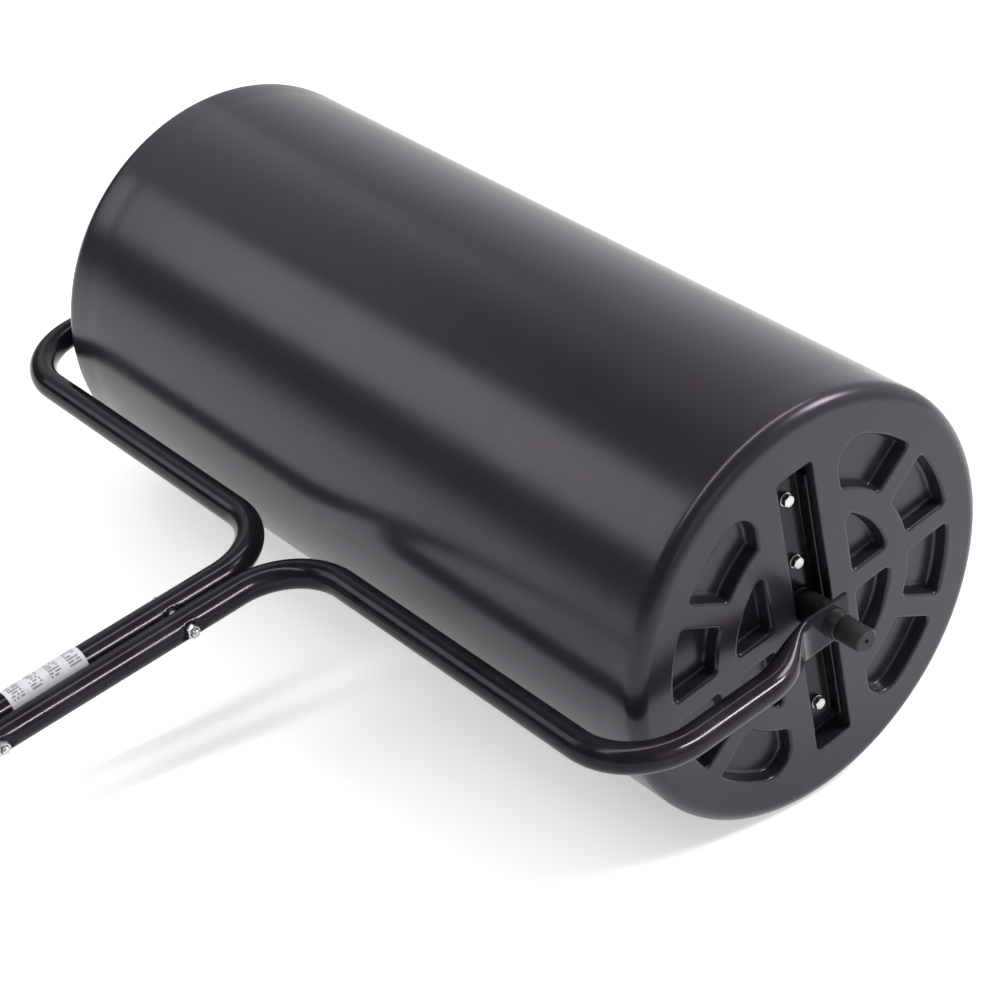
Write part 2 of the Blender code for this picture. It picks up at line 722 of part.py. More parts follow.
def make_tongue_bolts(finishes, frame):
    """Cross bolts through both tubes, heads on the left, nuts on the right, a spacer between the tubes."""
    face = TONGUE_HALF_SPACING + PINCH_HALF_WIDTH + GAP
    sizes = (TONGUE_BOLT_HEAD, TONGUE_BOLT_FLATS, TONGUE_SHANK_RADIUS)
    bolt = bolt_mesh("tongue_bolt", face, *sizes, -face - BOLT_TAIL)
    bore = TONGUE_SHANK_RADIUS + NUT_CLEARANCE
    nut = nut_mesh("tongue_nut", face, TONGUE_NUT_HEIGHT, TONGUE_BOLT_FLATS, bore)
    half = TONGUE_HALF_SPACING - PINCH_HALF_WIDTH - GAP
    sleeve = ring_rings(-half, half, bore, TONGUE_SPACER_RADIUS, 12)
    spacer = mesh_of("tongue_spacer", [sleeve], loop=True)
    for number, s in enumerate(PINCH_SPOTS, 1):
        spot = (0, -s, 0)
        place(f"tongue_bolt_{number}", bolt, finishes["zinc"], frame, spot, (0, 0, math.pi))
        place(f"tongue_nut_{number}", nut, finishes["zinc"], frame, spot)
        place(f"tongue_spacer_{number}", spacer, finishes["zinc"], frame, spot)


def make_hitch(finishes, frame, tools):
    """Two joggled straps with flared lips, bolted above and below the tongue's end."""
    rise = math.sin(LIP_ANGLE)
    run = math.cos(LIP_ANGLE)
    tip_s = LIP_BEND_S + LIP_LENGTH * run
    tip_q = THROAT_HALF + LIP_LENGTH * rise
    joggle_end = JOGGLE_START_S + JOGGLE_LENGTH
    lean = math.atan2(JOGGLE_DEPTH, JOGGLE_LENGTH) / 2
    shift = STRAP_SHEET * math.tan(lean)
    section = [
        (STRAP_START_S, STRAP_INSIDE),
        (JOGGLE_START_S, STRAP_INSIDE),
        (joggle_end, THROAT_HALF),
        (LIP_BEND_S, THROAT_HALF),
        (tip_s, tip_q),
        (LIP_CORNER_S, LIP_CORNER_Q),
        (LIP_BEND_S - STRAP_SHEET * math.tan(LIP_ANGLE / 2), THROAT_HALF + STRAP_SHEET),
        (joggle_end + shift, THROAT_HALF + STRAP_SHEET),
        (JOGGLE_START_S + shift, STRAP_INSIDE + STRAP_SHEET),
        (STRAP_START_S, STRAP_INSIDE + STRAP_SHEET),
    ]
    for name, side in (("hitch_strap_upper", 1), ("hitch_strap_lower", -1)):
        rings = [[(x, -s, side * q) for s, q in section] for x in (-STRAP_HALF_WIDTH, STRAP_HALF_WIDTH)]
        strap = place(name, mesh_of(name, [rings]), finishes["frame"], frame)
        for tool in tools:
            cut(strap, tool)

    face = STRAP_INSIDE + STRAP_SHEET + GAP
    sizes = (HITCH_BOLT_HEAD, HITCH_BOLT_FLATS, HITCH_SHANK_RADIUS)
    bolt = bolt_mesh("hitch_bolt", face, *sizes, -face - BOLT_TAIL)
    bore = HITCH_SHANK_RADIUS + NUT_CLEARANCE
    nut = nut_mesh("hitch_nut", face, HITCH_NUT_HEIGHT, HITCH_BOLT_FLATS, bore)
    number = 0
    for s in HITCH_BOLT_SPOTS:
        for x in (-TONGUE_HALF_SPACING, TONGUE_HALF_SPACING):
            number += 1
            spot = (x, -s, 0)
            place(f"hitch_bolt_{number}", bolt, finishes["zinc"], frame, spot, (0, -math.pi / 2, 0))
            place(f"hitch_nut_{number}", nut, finishes["zinc"], frame, spot, (0, math.pi / 2, 0))


def make_end_cap(name, x, finish, frame):
    """A push-in cap: a disc over the tube's end with a stem inside it."""
    disc = TUBE_RADIUS / math.cos(math.pi / TUBE_SIDES)
    start = TONGUE_END_S + GAP
    tip = start - CAP_STEM_LENGTH
    top = start + CAP_THICKNESS
    profile = [(tip, CAP_STEM_RADIUS - 0.0006), (tip + 0.002, CAP_STEM_RADIUS)]
    profile.append((start, CAP_STEM_RADIUS))
    profile += [(start, disc), (top - 0.001, disc), (top, disc - 0.001)]
    rings = turned(profile, TUBE_SIDES, phase=math.pi / TUBE_SIDES)
    turned_forward = [[(py + x, -px, pz) for px, py, pz in ring] for ring in rings]
    place(name, mesh_of(name, [turned_forward]), finish, frame)


def make_hitch_pin(finish, frame):
    """A plain pin with a collar and a grip knob, standing in both straps."""
    seat = THROAT_HALF + STRAP_SHEET + GAP
    tail = -THROAT_HALF - STRAP_SHEET - PIN_TAIL
    shoulder = PIN_KNOB_RADIUS - 0.002
    profile = [
        (tail, PIN_TIP_RADIUS),
        (tail + 0.004, PIN_RADIUS),
        (seat, PIN_RADIUS),
        (seat, PIN_COLLAR_RADIUS),
        (seat + 0.004, PIN_COLLAR_RADIUS),
        (seat + 0.006, PIN_NECK_RADIUS),
        (seat + 0.016, PIN_NECK_RADIUS),
        (seat + 0.019, shoulder),
        (seat + 0.024, PIN_KNOB_RADIUS),
        (seat + 0.029, shoulder),
        (seat + 0.032, PIN_KNOB_RADIUS - 0.0075),
    ]
    mesh = mesh_of("hitch_pin", upright([turned(profile, 16)]))
    place("hitch_pin", mesh, finish, frame, (0, -PIN_S, 0))


def make_tube_label(finish, frame):
    """A thin blank rating label wrapped over the top of the left tube."""
    inner = TUBE_RADIUS / math.cos(math.pi / TUBE_SIDES) + GAP
    outer = inner + LABEL_THICKNESS
    start, end = LABEL_ANGLES
    steps = 10
    angles = [start + (end - start) * i / steps for i in range(steps + 1)]
    section = [(inner * math.cos(t), inner * math.sin(t)) for t in angles]
    section += [(outer * math.cos(t), outer * math.sin(t)) for t in reversed(angles)]
    rings = []
    for s in (LABEL_START_S, LABEL_END_S):
        rings.append([(x - TONGUE_HALF_SPACING, -s, z) for x, z in section])
    place("tube_label", mesh_of("tube_label", [rings]), finish, frame)


def main():
    clear_scene()
    finishes = {
        "drum": material("drum_plastic", (0.060, 0.056, 0.066), 0.45),
        "frame": material("frame_paint", (0.010, 0.009, 0.011), 0.20),
        "axle": material("axle_steel", (0.016, 0.014, 0.017), 0.35, 0.3),
        "zinc": material("zinc_plate", (0.72, 0.72, 0.74), 0.30, 1.0),
        "bush": material("bush_plastic", (0.030, 0.028, 0.032), 0.40),
        "plug": material("plug_plastic", (0.035, 0.033, 0.038), 0.45),
        "rubber": material("gasket_rubber", (0.020, 0.020, 0.022), 0.80),
        "label": material("label_film", (0.82, 0.81, 0.86), 0.45),
    }
    axle = Vector((0, axle_y(), DRUM_RADIUS))
    drum = empty("drum_axis", axle, (DRUM_TURN, 0, 0))
    frame = empty("frame_axis", axle, (TONGUE_SLOPE, 0, 0))
    ends = {
        "right": empty("drum_end_right", (END_HALF, 0, 0), (0, 0, 0), drum),
        "left": empty("drum_end_left", (-END_HALF, 0, 0), (0, 0, math.pi), drum),
    }
    bush_seats = {
        "right": empty("bush_seat_right", (END_HALF, 0, 0), (0, 0, 0), frame),
        "left": empty("bush_seat_left", (-END_HALF, 0, 0), (0, 0, math.pi), frame),
    }

    make_drum_shell(finishes["drum"], drum)
    make_fill_plug(finishes, ends["left"])
    for side, end in ends.items():
        make_end_fittings(side, finishes, end)

    cross_holes = cross_hole_tool(frame)
    hitch_holes = hitch_hole_tool(frame)
    make_frame_tube("frame_tube_right", 1, finishes["frame"], frame, [cross_holes, hitch_holes])
    make_frame_tube("frame_tube_left", -1, finishes["frame"], frame, [cross_holes, hitch_holes])
    for side, seat in bush_seats.items():
        make_frame_bush(f"frame_bush_{side}", finishes["bush"], seat)
    make_tongue_bolts(finishes, frame)
    make_hitch(finishes, frame, [hitch_holes, pin_hole_tool(frame)])
    make_end_cap("tube_cap_right", TONGUE_HALF_SPACING, finishes["bush"], frame)
    make_end_cap("tube_cap_left", -TONGUE_HALF_SPACING, finishes["bush"], frame)
    make_hitch_pin(finishes["zinc"], frame)
    make_tube_label(finishes["label"], frame)


main()
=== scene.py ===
"""The looks of the tow-behind lawn roller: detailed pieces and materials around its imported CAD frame."""

import json
import math

import bmesh
import bpy
from mathutils import Matrix, Vector
from mathutils.geometry import delaunay_2d_cdt


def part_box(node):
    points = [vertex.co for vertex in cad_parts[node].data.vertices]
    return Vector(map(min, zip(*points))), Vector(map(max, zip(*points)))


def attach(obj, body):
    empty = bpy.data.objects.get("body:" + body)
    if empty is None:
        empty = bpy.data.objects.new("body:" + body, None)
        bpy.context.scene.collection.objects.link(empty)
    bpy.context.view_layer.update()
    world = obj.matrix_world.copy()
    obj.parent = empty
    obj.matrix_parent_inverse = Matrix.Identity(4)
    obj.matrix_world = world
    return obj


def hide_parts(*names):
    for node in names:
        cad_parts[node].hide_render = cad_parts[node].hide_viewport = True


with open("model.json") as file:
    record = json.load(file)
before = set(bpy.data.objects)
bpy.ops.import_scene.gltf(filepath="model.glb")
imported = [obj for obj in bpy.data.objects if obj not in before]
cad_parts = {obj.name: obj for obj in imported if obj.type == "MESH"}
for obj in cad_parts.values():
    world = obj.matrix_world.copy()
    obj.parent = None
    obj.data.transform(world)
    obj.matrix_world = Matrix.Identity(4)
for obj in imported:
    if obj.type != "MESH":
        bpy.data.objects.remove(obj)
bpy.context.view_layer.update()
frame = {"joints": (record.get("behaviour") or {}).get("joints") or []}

# The frame: the axle, the tongue's slope and the drum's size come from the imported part
joints = {joint["name"]: joint for joint in frame["joints"]}
AXLE = Vector(joints["drum_spin"]["pos_m"])
LIFT = Vector(joints["hitch_pin_lift"]["axis"])
TONGUE_SLOPE = math.atan2(-LIFT.y, LIFT.z)
DRUM_TURN = math.radians(13.5)
END_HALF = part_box("drum_shell")[1].x
DRUM_RADIUS = AXLE.z

MM = 0.001
GAP = 0.3 * MM
AXLE_PLACE = Matrix.Translation(AXLE)
DRUM_FRAME = AXLE_PLACE @ Matrix.Rotation(DRUM_TURN, 4, "X")
TONGUE_FRAME = AXLE_PLACE @ Matrix.Rotation(TONGUE_SLOPE, 4, "X")
HALF_TURN = Matrix.Rotation(math.pi, 4, "Z")
ENDS = {"right": 1, "left": -1}

# Drum shell
EDGE_RADIUS = 16 * MM
CAVITY_WALL = 4 * MM
CAVITY_END = 26 * MM
CHANNEL_HALF_WIDTH = 22.2 * MM
CHANNEL_HALF_LENGTH = 165 * MM
CHANNEL_DEPTH = 22 * MM
CHANNEL_DRAFT = 1 * MM
CHANNEL_CORNER = 4 * MM
CHANNEL_FILLETS = (1.4 * MM, 1.2 * MM)
POCKET_DEPTH = 14.5 * MM
POCKET_DRAFT = 2.2 * MM
POCKET_FILLET = 3.4 * MM
POCKET_SIDE = 52.6 * MM
OUTER_ARC = 176 * MM
RIB_OUTER_ARC = 124 * MM
RIB_INNER_ARC = 98 * MM
SPOKE_HALF_WIDTH = 12.2 * MM
SPOKE_ANGLE = math.radians(33.5)
POCKET_CORNER = 5.5 * MM
POCKET_BIG_CORNER = 24 * MM
GASKET_BOTTOM = -POCKET_DEPTH + GAP
GASKET_TOP = GASKET_BOTTOM + 2 * MM
GASKET = (15.2 * MM, 18 * MM)
BOSS_RADIUS = 10 * MM
BOSS_DEPTH = 42 * MM
PILOT_RADIUS = 3.9 * MM
PILOT_DEPTH = 38 * MM
FILL_RADIUS = 150 * MM
FILL_ANGLE = math.radians(53)
FILL_HOLE_RADIUS = 14.6 * MM
FILL_HOLE_CHAMFER = 0.4 * MM
BOLT_SPOTS = (-126 * MM, -52 * MM, 52 * MM, 126 * MM)
DRUM_SIDES = 256
SIDE_ROWS = 150
WAVE_DEPTH = 0.45 * MM
SINK_DEPTH = 0.25 * MM
SINK_FROM_END = 46 * MM
SINK_WIDTH = 10 * MM

# Bracket and axle, as heights above the drum's end face
BRACKET_HALF_WIDTH = 19.5 * MM
BRACKET_HALF_LENGTH = 148 * MM
SHEET = 3 * MM
WEB_BACK = -21.7 * MM
WEB_FRONT = WEB_BACK + SHEET
FLANGE_EDGE = -6.5 * MM
AXLE_RADIUS = 12.5 * MM
AXLE_END = 66 * MM
SPIGOT_RADIUS = 8 * MM
BUSH_FLANGE_START = 17.2 * MM
PLATE_MIDDLE = 22 * MM
BUSH_END = 36 * MM
WASHER = (3.7 * MM, 7.0 * MM, 1.5 * MM)
AXLE_SPACER = (13 * MM, 16 * MM)
BRACKET_HOLE_RADIUS = 4.0 * MM
SPIGOT_HOLE_RADIUS = SPIGOT_RADIUS + 0.5 * MM

# Frame tube: s is the distance from the axle along the tongue
TUBE_RADIUS = 15 * MM
TUBE_WALL = 2 * MM
PLATE_HALF_THICKNESS = 2 * MM
PLATE_HALF_WIDTH = 22.5 * MM
PLATE_OVERHANG = 20 * MM
PLATE_FLAT = 28 * MM
FLATTEN_END = 85 * MM
S_BEND_START = 25 * MM
S_BEND_END = 105 * MM
ARM_X = 510.6 * MM
BEND_RADIUS = 75 * MM
CROSSPIECE_S = 266 * MM
TONGUE_HALF_SPACING = 16.5 * MM
TONGUE_END_S = 905 * MM
PINCH_SPOTS = (406 * MM, 624 * MM)
PINCH_HALF_WIDTH = 11.6 * MM
PINCH_REACH = 22 * MM
PINCH_FLAT = 6.5 * MM
PINCH_SLOPE = 11 * MM
TUBE_SIDES = 64
TUBE_STEP = 12 * MM
BUSH_SEAT_RADIUS = 14.8 * MM
CROSS_HOLE_RADIUS = 4.5 * MM
TONGUE_SPACER = (4.4 * MM, 6.5 * MM)

# Hitch
STRAP_START_S = 795 * MM
STRAP_HALF_WIDTH = 30 * MM
STRAP_SHEET = 5 * MM
JOGGLE_START_S = 912 * MM
JOGGLE_LENGTH = 8 * MM
JOGGLE_DEPTH = 5 * MM
LIP_ANGLE = math.radians(40)
LIP_LENGTH = 30 * MM
HITCH_BOLT_SPOTS = (825 * MM, 880 * MM)
PIN_BEHIND_LIP = 35 * MM
PIN_RADIUS = 6.35 * MM
PIN_HOLE_RADIUS = PIN_RADIUS + 0.5 * MM
HITCH_HOLE_RADIUS = 5.6 * MM
LABEL_START_S = 504 * MM
LABEL_END_S = 590 * MM
STRAP_INSIDE = TUBE_RADIUS + GAP
THROAT_HALF = STRAP_INSIDE - JOGGLE_DEPTH
LIP_CORNER_Q = THROAT_HALF + LIP_LENGTH * math.sin(LIP_ANGLE) + STRAP_SHEET * math.cos(LIP_ANGLE)
LIP_CORNER_S = (DRUM_RADIUS - LIP_CORNER_Q * math.cos(TONGUE_SLOPE)) / math.sin(TONGUE_SLOPE)
LIP_BEND_S = LIP_CORNER_S + STRAP_SHEET * math.sin(LIP_ANGLE) - LIP_LENGTH * math.cos(LIP_ANGLE)
PIN_S = LIP_BEND_S - PIN_BEHIND_LIP

# Bolts as (across flats, head height, shank radius), nuts as (across flats, height, bore)
BRACKET_BOLT = (11.1 * MM, 4.8 * MM, 3.2 * MM)
TONGUE_BOLT = (13 * MM, 5.3 * MM, 3.9 * MM)
TONGUE_NUT = (13 * MM, 6.8 * MM, 4.4 * MM)
HITCH_BOLT = (16 * MM, 6.4 * MM, 4.9 * MM)
HITCH_NUT = (16 * MM, 8 * MM, 5.4 * MM)
BRACKET_BOLT_TIP = -36 * MM
BRACKET_THREAD = 14 * MM
CLAMP_BOLT_PAST = 11 * MM
CLAMP_THREAD = 22 * MM
TOOL_REACH = 40 * MM


# Meshes: rings of points joined by bands of quads


class Shell:
    """Points and faces of one piece, built ring by ring."""

    def __init__(self):
        self.points = []
        self.faces = []

    def ring(self, points):
        start = len(self.points)
        self.points += [tuple(point) for point in points]
        return list(range(start, len(self.points)))

    def band(self, first, second):
        count = len(first)
        for i in range(count):
            j = (i + 1) % count
            self.faces.append((first[i], first[j], second[j], second[i]))

    def skin(self, rings, loop=False):
        """Bands through rings of points; returns the rings as lists of point numbers."""
        layers = [self.ring(ring) for ring in rings]
        for first, second in zip(layers, layers[1:]):
            self.band(first, second)
        if loop:
            self.band(layers[-1], layers[0])
        return layers

    def lid(self, ring):
        self.faces.append(tuple(ring))

    def plane(self, outer, holes, flat):
        """Triangles between an outer ring and the rings of its holes; flat makes a point flat."""
        loops = [outer] + holes
        numbers = [number for loop in loops for number in loop]
        spots = [Vector(flat(self.points[number])) for number in numbers]
        edges = []
        start = 0
        for loop in loops:
            edges += [(start + i, start + (i + 1) % len(loop)) for i in range(len(loop))]
            start += len(loop)
        result = delaunay_2d_cdt(spots, edges, [], 1, 1e-7)
        rims = [[Vector(flat(self.points[number])) for number in hole] for hole in holes]
        for corners in result[2]:
            middle = sum((result[0][i] for i in corners), Vector((0, 0))) / len(corners)
            if not any(inside(middle, rim) for rim in rims):
                self.faces.append(tuple(numbers[result[3][i][0]] for i in corners))

    def mesh(self, name, sharp=35):
        made = bpy.data.meshes.new(name)
        made.from_pydata(self.points, [], self.faces)
        bm = bmesh.new()
        bm.from_mesh(made)
        bmesh.ops.recalc_face_normals(bm, faces=bm.faces)
        bm.to_mesh(made)
        bm.free()
        made.shade_smooth()
        made.set_sharp_from_angle(angle=math.radians(sharp))
        return made


def inside(point, rim):
    """Whether a flat point lies inside a ring of flat points."""
    crossings = 0
    for a, b in zip(rim, rim[1:] + rim[:1]):
        if (a.y > point.y) != (b.y > point.y):
            crossings += point.x < a.x + (point.y - a.y) * (b.x - a.x) / (b.y - a.y)
    return crossings % 2 == 1


def circle(x, radius, sides=48, centre=(0, 0)):
    turns = [2 * math.pi * i / sides for i in range(sides)]
    return [(x, centre[0] + radius * math.cos(t), centre[1] + radius * math.sin(t)) for t in turns]


def solid(name, rings, sharp=35, loop=False):
    """A closed piece through rings: with a lid at each end, or joined from the last ring to the first."""
    shell = Shell()
    layers = shell.skin(rings, loop)
    if not loop:
        shell.lid(layers[0])
        shell.lid(layers[-1])
    return shell.mesh(name, sharp)


def turned(name, profile, sides, loop=False, sharp=35):
    """A piece turned about X from (x, radius) points."""
    return solid(name, [circle(x, radius, sides) for x, radius in profile], sharp, loop)


def steps(start, radius, *offsets):
    """Profile points, each given as mm along from start and mm out from radius."""
    return [(start + along * MM, radius + out * MM) for along, out in offsets]


def rounded(corners, radius, steps_in_corner, closed=False):
    """A path of flat points with its corners rounded; radius is one number or one for each corner."""
    count = len(corners)
    path = []
    for i, corner in enumerate(corners):
        size = radius[i] if isinstance(radius, (list, tuple)) else radius
        if size == 0 or (not closed and i in (0, count - 1)):
            path.append(Vector(corner))
            continue
        here = Vector(corner)
        back = (Vector(corners[i - 1]) - here).normalized()
        ahead = (Vector(corners[(i + 1) % count]) - here).normalized()
        half = back.angle(ahead) / 2
        reach = size / math.tan(half)
        centre = here + (back + ahead).normalized() * (size / math.sin(half))
        start = here + back * reach - centre
        sweep = math.pi - 2 * half
        if start.x * (here - centre).y - start.y * (here - centre).x < 0:
            sweep = -sweep
        for k in range(steps_in_corner + 1):
            path.append(centre + Matrix.Rotation(sweep * k / steps_in_corner, 2) @ start)
    return path


def piece(name, mesh, finish, body, node, place):
    """Puts a mesh in place, gives it its material and lets it ride on its CAD body."""
    placed = mesh.copy()
    placed.transform(place)
    placed.materials.append(finish)
    made = bpy.data.objects.new(name, placed)
    bpy.context.scene.collection.objects.link(made)
    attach(made, body)
    if node:
        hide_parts(node)
    return made


def bored(mesh, tools):
    """Cuts closed tool meshes out of a mesh and returns the result."""
    scene = bpy.context.scene.collection
    target = bpy.data.objects.new("bored", mesh)
    scene.objects.link(target)
    cutters = []
    for number, tool in enumerate(tools):
        cutter = bpy.data.objects.new(f"tool_{number}", tool)
        scene.objects.link(cutter)
        modifier = target.modifiers.new("bore", "BOOLEAN")
        modifier.operation = "DIFFERENCE"
        modifier.solver = "EXACT"
        modifier.object = cutter
        cutters.append(cutter)
    graph = bpy.context.evaluated_depsgraph_get()
    result = bpy.data.meshes.new_from_object(target.evaluated_get(graph))
    result.name = mesh.name
    for item in [*cutters, target]:
        bpy.data.objects.remove(item)
    result.shade_smooth()
    result.set_sharp_from_angle(angle=math.radians(35))
    return result


# Outlines of the moulded relief: edges in order, each a line or an arc about the drum's axis

QUARTER_MIDDLE = Vector((0.09, 0.09))


def line(normal, offset):
    return ("line", Vector(normal), offset)


def inset_edge(edge, distance):
    if edge[0] == "line":
        return ("line", edge[1], edge[2] + distance)
    if edge[0] == "outer":
        return ("outer", edge[1] - distance)
    return ("inner", edge[1] + distance)


def meet(first, second, near):
    """Where two edges cross, on the side of the point near."""
    if first[0] != "line":
        first, second = second, first
    normal, offset = first[1], first[2]
    along = Vector((-normal.y, normal.x))
    if second[0] == "line":
        other, other_offset = second[1], second[2]
        slide = (other_offset - offset * normal.dot(other)) / along.dot(other)
        return normal * offset + along * slide
    reach = math.sqrt(second[1] ** 2 - offset**2)
    crossings = [normal * offset + along * reach, normal * offset - along * reach]
    return min(crossings, key=lambda point: (point - near).length)


def touch(edge, centre, radius):
    """The point where a corner arc of this centre and radius meets its edge."""
    if edge[0] == "line":
        return centre - edge[1] * radius
    change = radius if edge[0] == "outer" else -radius
    return centre * ((centre.length + change) / centre.length)


def swing(centre, start, end, steps):
    """Points on the short arc about centre from start to end, both included."""
    a = start - centre
    b = end - centre
    turn = math.atan2(a.x * b.y - a.y * b.x, a.dot(b))
    base = math.atan2(a.y, a.x)
    angles = [base + turn * i / steps for i in range(steps + 1)]
    return [centre + a.length * Vector((math.cos(t), math.sin(t))) for t in angles]


def outline(edges, corners, inset):
    """The outline inside the edges, moved in by inset, with rounded corners and points along each run."""
    corner_steps, run_steps = 10, 18
    middle = Vector((0, 0))
    for i, edge in enumerate(edges):
        middle += meet(edges[i - 1], edge, QUARTER_MIDDLE) / len(edges)
    arcs = []
    for i, edge in enumerate(edges):
        following = edges[(i + 1) % len(edges)]
        radius = max(corners[i] - inset, 1.5 * MM)
        centre = meet(inset_edge(edge, inset + radius), inset_edge(following, inset + radius), middle)
        start, end = touch(edge, centre, radius), touch(following, centre, radius)
        arcs.append(swing(centre, start, end, corner_steps))
    points = []
    for i, arc in enumerate(arcs):
        points += arc
        following = (i + 1) % len(edges)
        goal = arcs[following][0]
        if edges[following][0] == "line":
            points += [arc[-1].lerp(goal, k / run_steps) for k in range(1, run_steps)]
        else:
            points += swing(Vector((0, 0)), arc[-1], goal, run_steps)[1:-1]
    return points


def pocket_kinds():
    """Edges and corner radii of the three pockets of one quarter, anticlockwise."""
    sine, cosine = math.sin(SPOKE_ANGLE), math.cos(SPOKE_ANGLE)
    above_spoke = line((-sine, cosine), SPOKE_HALF_WIDTH)
    below_spoke = line((sine, -cosine), SPOKE_HALF_WIDTH)
    level_spoke = line((0, 1), SPOKE_HALF_WIDTH)
    side = line((1, 0), POCKET_SIDE)
    rim = ("outer", OUTER_ARC)
    rib = ("inner", RIB_OUTER_ARC)
    hub = ("outer", RIB_INNER_ARC)
    small, big = POCKET_CORNER, POCKET_BIG_CORNER
    return [
        ((above_spoke, rim, side, rib), (small, big, small, small)),
        ((level_spoke, rim, below_spoke, rib), (small, small, small, small)),
        ((level_spoke, hub, side), (small, small, small)),
    ]


def channel_kind():
    edges = (
        line((1, 0), -CHANNEL_HALF_WIDTH),
        line((0, 1), -CHANNEL_HALF_LENGTH),
        line((-1, 0), -CHANNEL_HALF_WIDTH),
        line((0, -1), -CHANNEL_HALF_LENGTH),
    )
    return edges, (CHANNEL_CORNER,) * len(edges)


def wall_levels(depth, draft, top_radius, floor_radius):
    """(height, inset) of each ring down a recess: guard, rim fillet, drafted wall, floor fillet, guard."""
    guard, count = 1 * MM, 5
    lean = math.atan2(draft, depth)
    sine, cosine = math.sin(lean), math.cos(lean)
    rim = -top_radius * (1 - sine) / cosine
    levels = [(0, rim - guard)]
    for k in range(count + 1):
        turn = (math.pi / 2 - lean) * k / count
        height = -top_radius + top_radius * math.cos(turn)
        levels.append((height, rim + top_radius * math.sin(turn)))
    foot = (floor_radius + (depth - floor_radius) * sine) / cosine
    for k in range(count + 1):
        turn = lean + (math.pi / 2 - lean) * k / count
        height = -depth + floor_radius - floor_radius * math.sin(turn)
        levels.append((height, foot - floor_radius * math.cos(turn)))
    levels.append((-depth, foot + guard))
    return levels


POCKET_LEVELS = wall_levels(POCKET_DEPTH, POCKET_DRAFT, POCKET_FILLET, POCKET_FILLET)
CHANNEL_LEVELS = wall_levels(CHANNEL_DEPTH, CHANNEL_DRAFT, *CHANNEL_FILLETS)


def wave(x, turn):
    """How far the moulded side lies below the full radius: slow waves and a sink line near each end."""
    along = x / END_HALF
    slow = math.sin(2.6 * along + 1.3 * math.sin(2 * turn)) * math.sin(turn + 0.7)
    slow += 0.6 * math.sin(5.1 * along - 2 * turn + 0.4) + 0.5 * math.sin(3 * turn + 3.7 * along)
    ripple = 0.25 * math.sin(23 * along + 2 * math.sin(3 * turn)) * math.sin(4 * turn + 1)
    fade = max(0.0, 1 - (abs(x) / (END_HALF - EDGE_RADIUS)) ** 8)
    sink = math.exp(-(((END_HALF - abs(x) - SINK_FROM_END) / SINK_WIDTH) ** 2))
    return WAVE_DEPTH * fade * (0.55 + 0.25 * (slow + ripple)) + SINK_DEPTH * sink


def end_point(side, height, y, z):
    """A point of a drum end, given as a height above its face, in the drum's frame."""
    return (side * (END_HALF + height), side * y, z)


def fill_spot():
    """The filling hole in the left end's own y and z."""
    return (-FILL_RADIUS * math.cos(FILL_ANGLE), FILL_RADIUS * math.sin(FILL_ANGLE))


def flat_yz(point):
    return (point[1], point[2])


def end_circle(shell, side, height, radius, centre, sides=48):
    return shell.ring([end_point(side, height, y, z) for _, y, z in circle(0, radius, sides, centre)])


def add_recess(shell, side, kind, levels, mirror=(1, 1)):
    """The wall of one recess; returns its rim ring and its floor ring."""
    edges, corners = kind
    layers = []
    for height, inset in levels:
        shape = outline(edges, corners, inset)
        ring = [end_point(side, height, p.x * mirror[0], p.y * mirror[1]) for p in shape]
        layers.append(shell.ring(ring))
    for first, second in zip(layers, layers[1:]):
        shell.band(first, second)
    return layers[0], layers[-1]


def add_drum_end(shell, side, rim):
    """One end of the drum from its rim ring inwards; returns the filling hole's ring, or None."""
    openings = []
    hole = None
    for number, kind in enumerate(pocket_kinds()):
        for mirror in ((1, 1), (-1, 1), (-1, -1), (1, -1)):
            top, floor = add_recess(shell, side, kind, POCKET_LEVELS, mirror)
            openings.append(top)
            if side < 0 and number == 0 and mirror == (-1, 1):
                spot = fill_spot()
                wide = FILL_HOLE_RADIUS + FILL_HOLE_CHAMFER
                outer = end_circle(shell, side, -POCKET_DEPTH, wide + 1 * MM, spot)
                edge = end_circle(shell, side, -POCKET_DEPTH, wide, spot)
                hole = end_circle(shell, side, -POCKET_DEPTH - FILL_HOLE_CHAMFER, FILL_HOLE_RADIUS, spot)
                shell.plane(floor, [outer], flat_yz)
                shell.band(outer, edge)
                shell.band(edge, hole)
            else:
                shell.lid(floor)
    top, floor = add_recess(shell, side, channel_kind(), CHANNEL_LEVELS)
    openings.append(top)
    pilots = []
    for z in BOLT_SPOTS:
        mouth = end_circle(shell, side, -CHANNEL_DEPTH, PILOT_RADIUS, (0, z), 24)
        bottom = end_circle(shell, side, -PILOT_DEPTH, PILOT_RADIUS, (0, z), 24)
        shell.band(mouth, bottom)
        shell.lid(bottom)
        pilots.append(mouth)
    shell.plane(floor, pilots, flat_yz)
    shell.plane(rim, openings, flat_yz)
    return hole


def rim_arc(half, radius, edge, count):
    """(x, radius) points round the edge of a drum's profile, from its end face to its side."""
    turns = [math.pi / 2 * k / count for k in range(count + 1)]
    return [(half - edge + edge * math.cos(turn), radius - edge + edge * math.sin(turn)) for turn in turns]


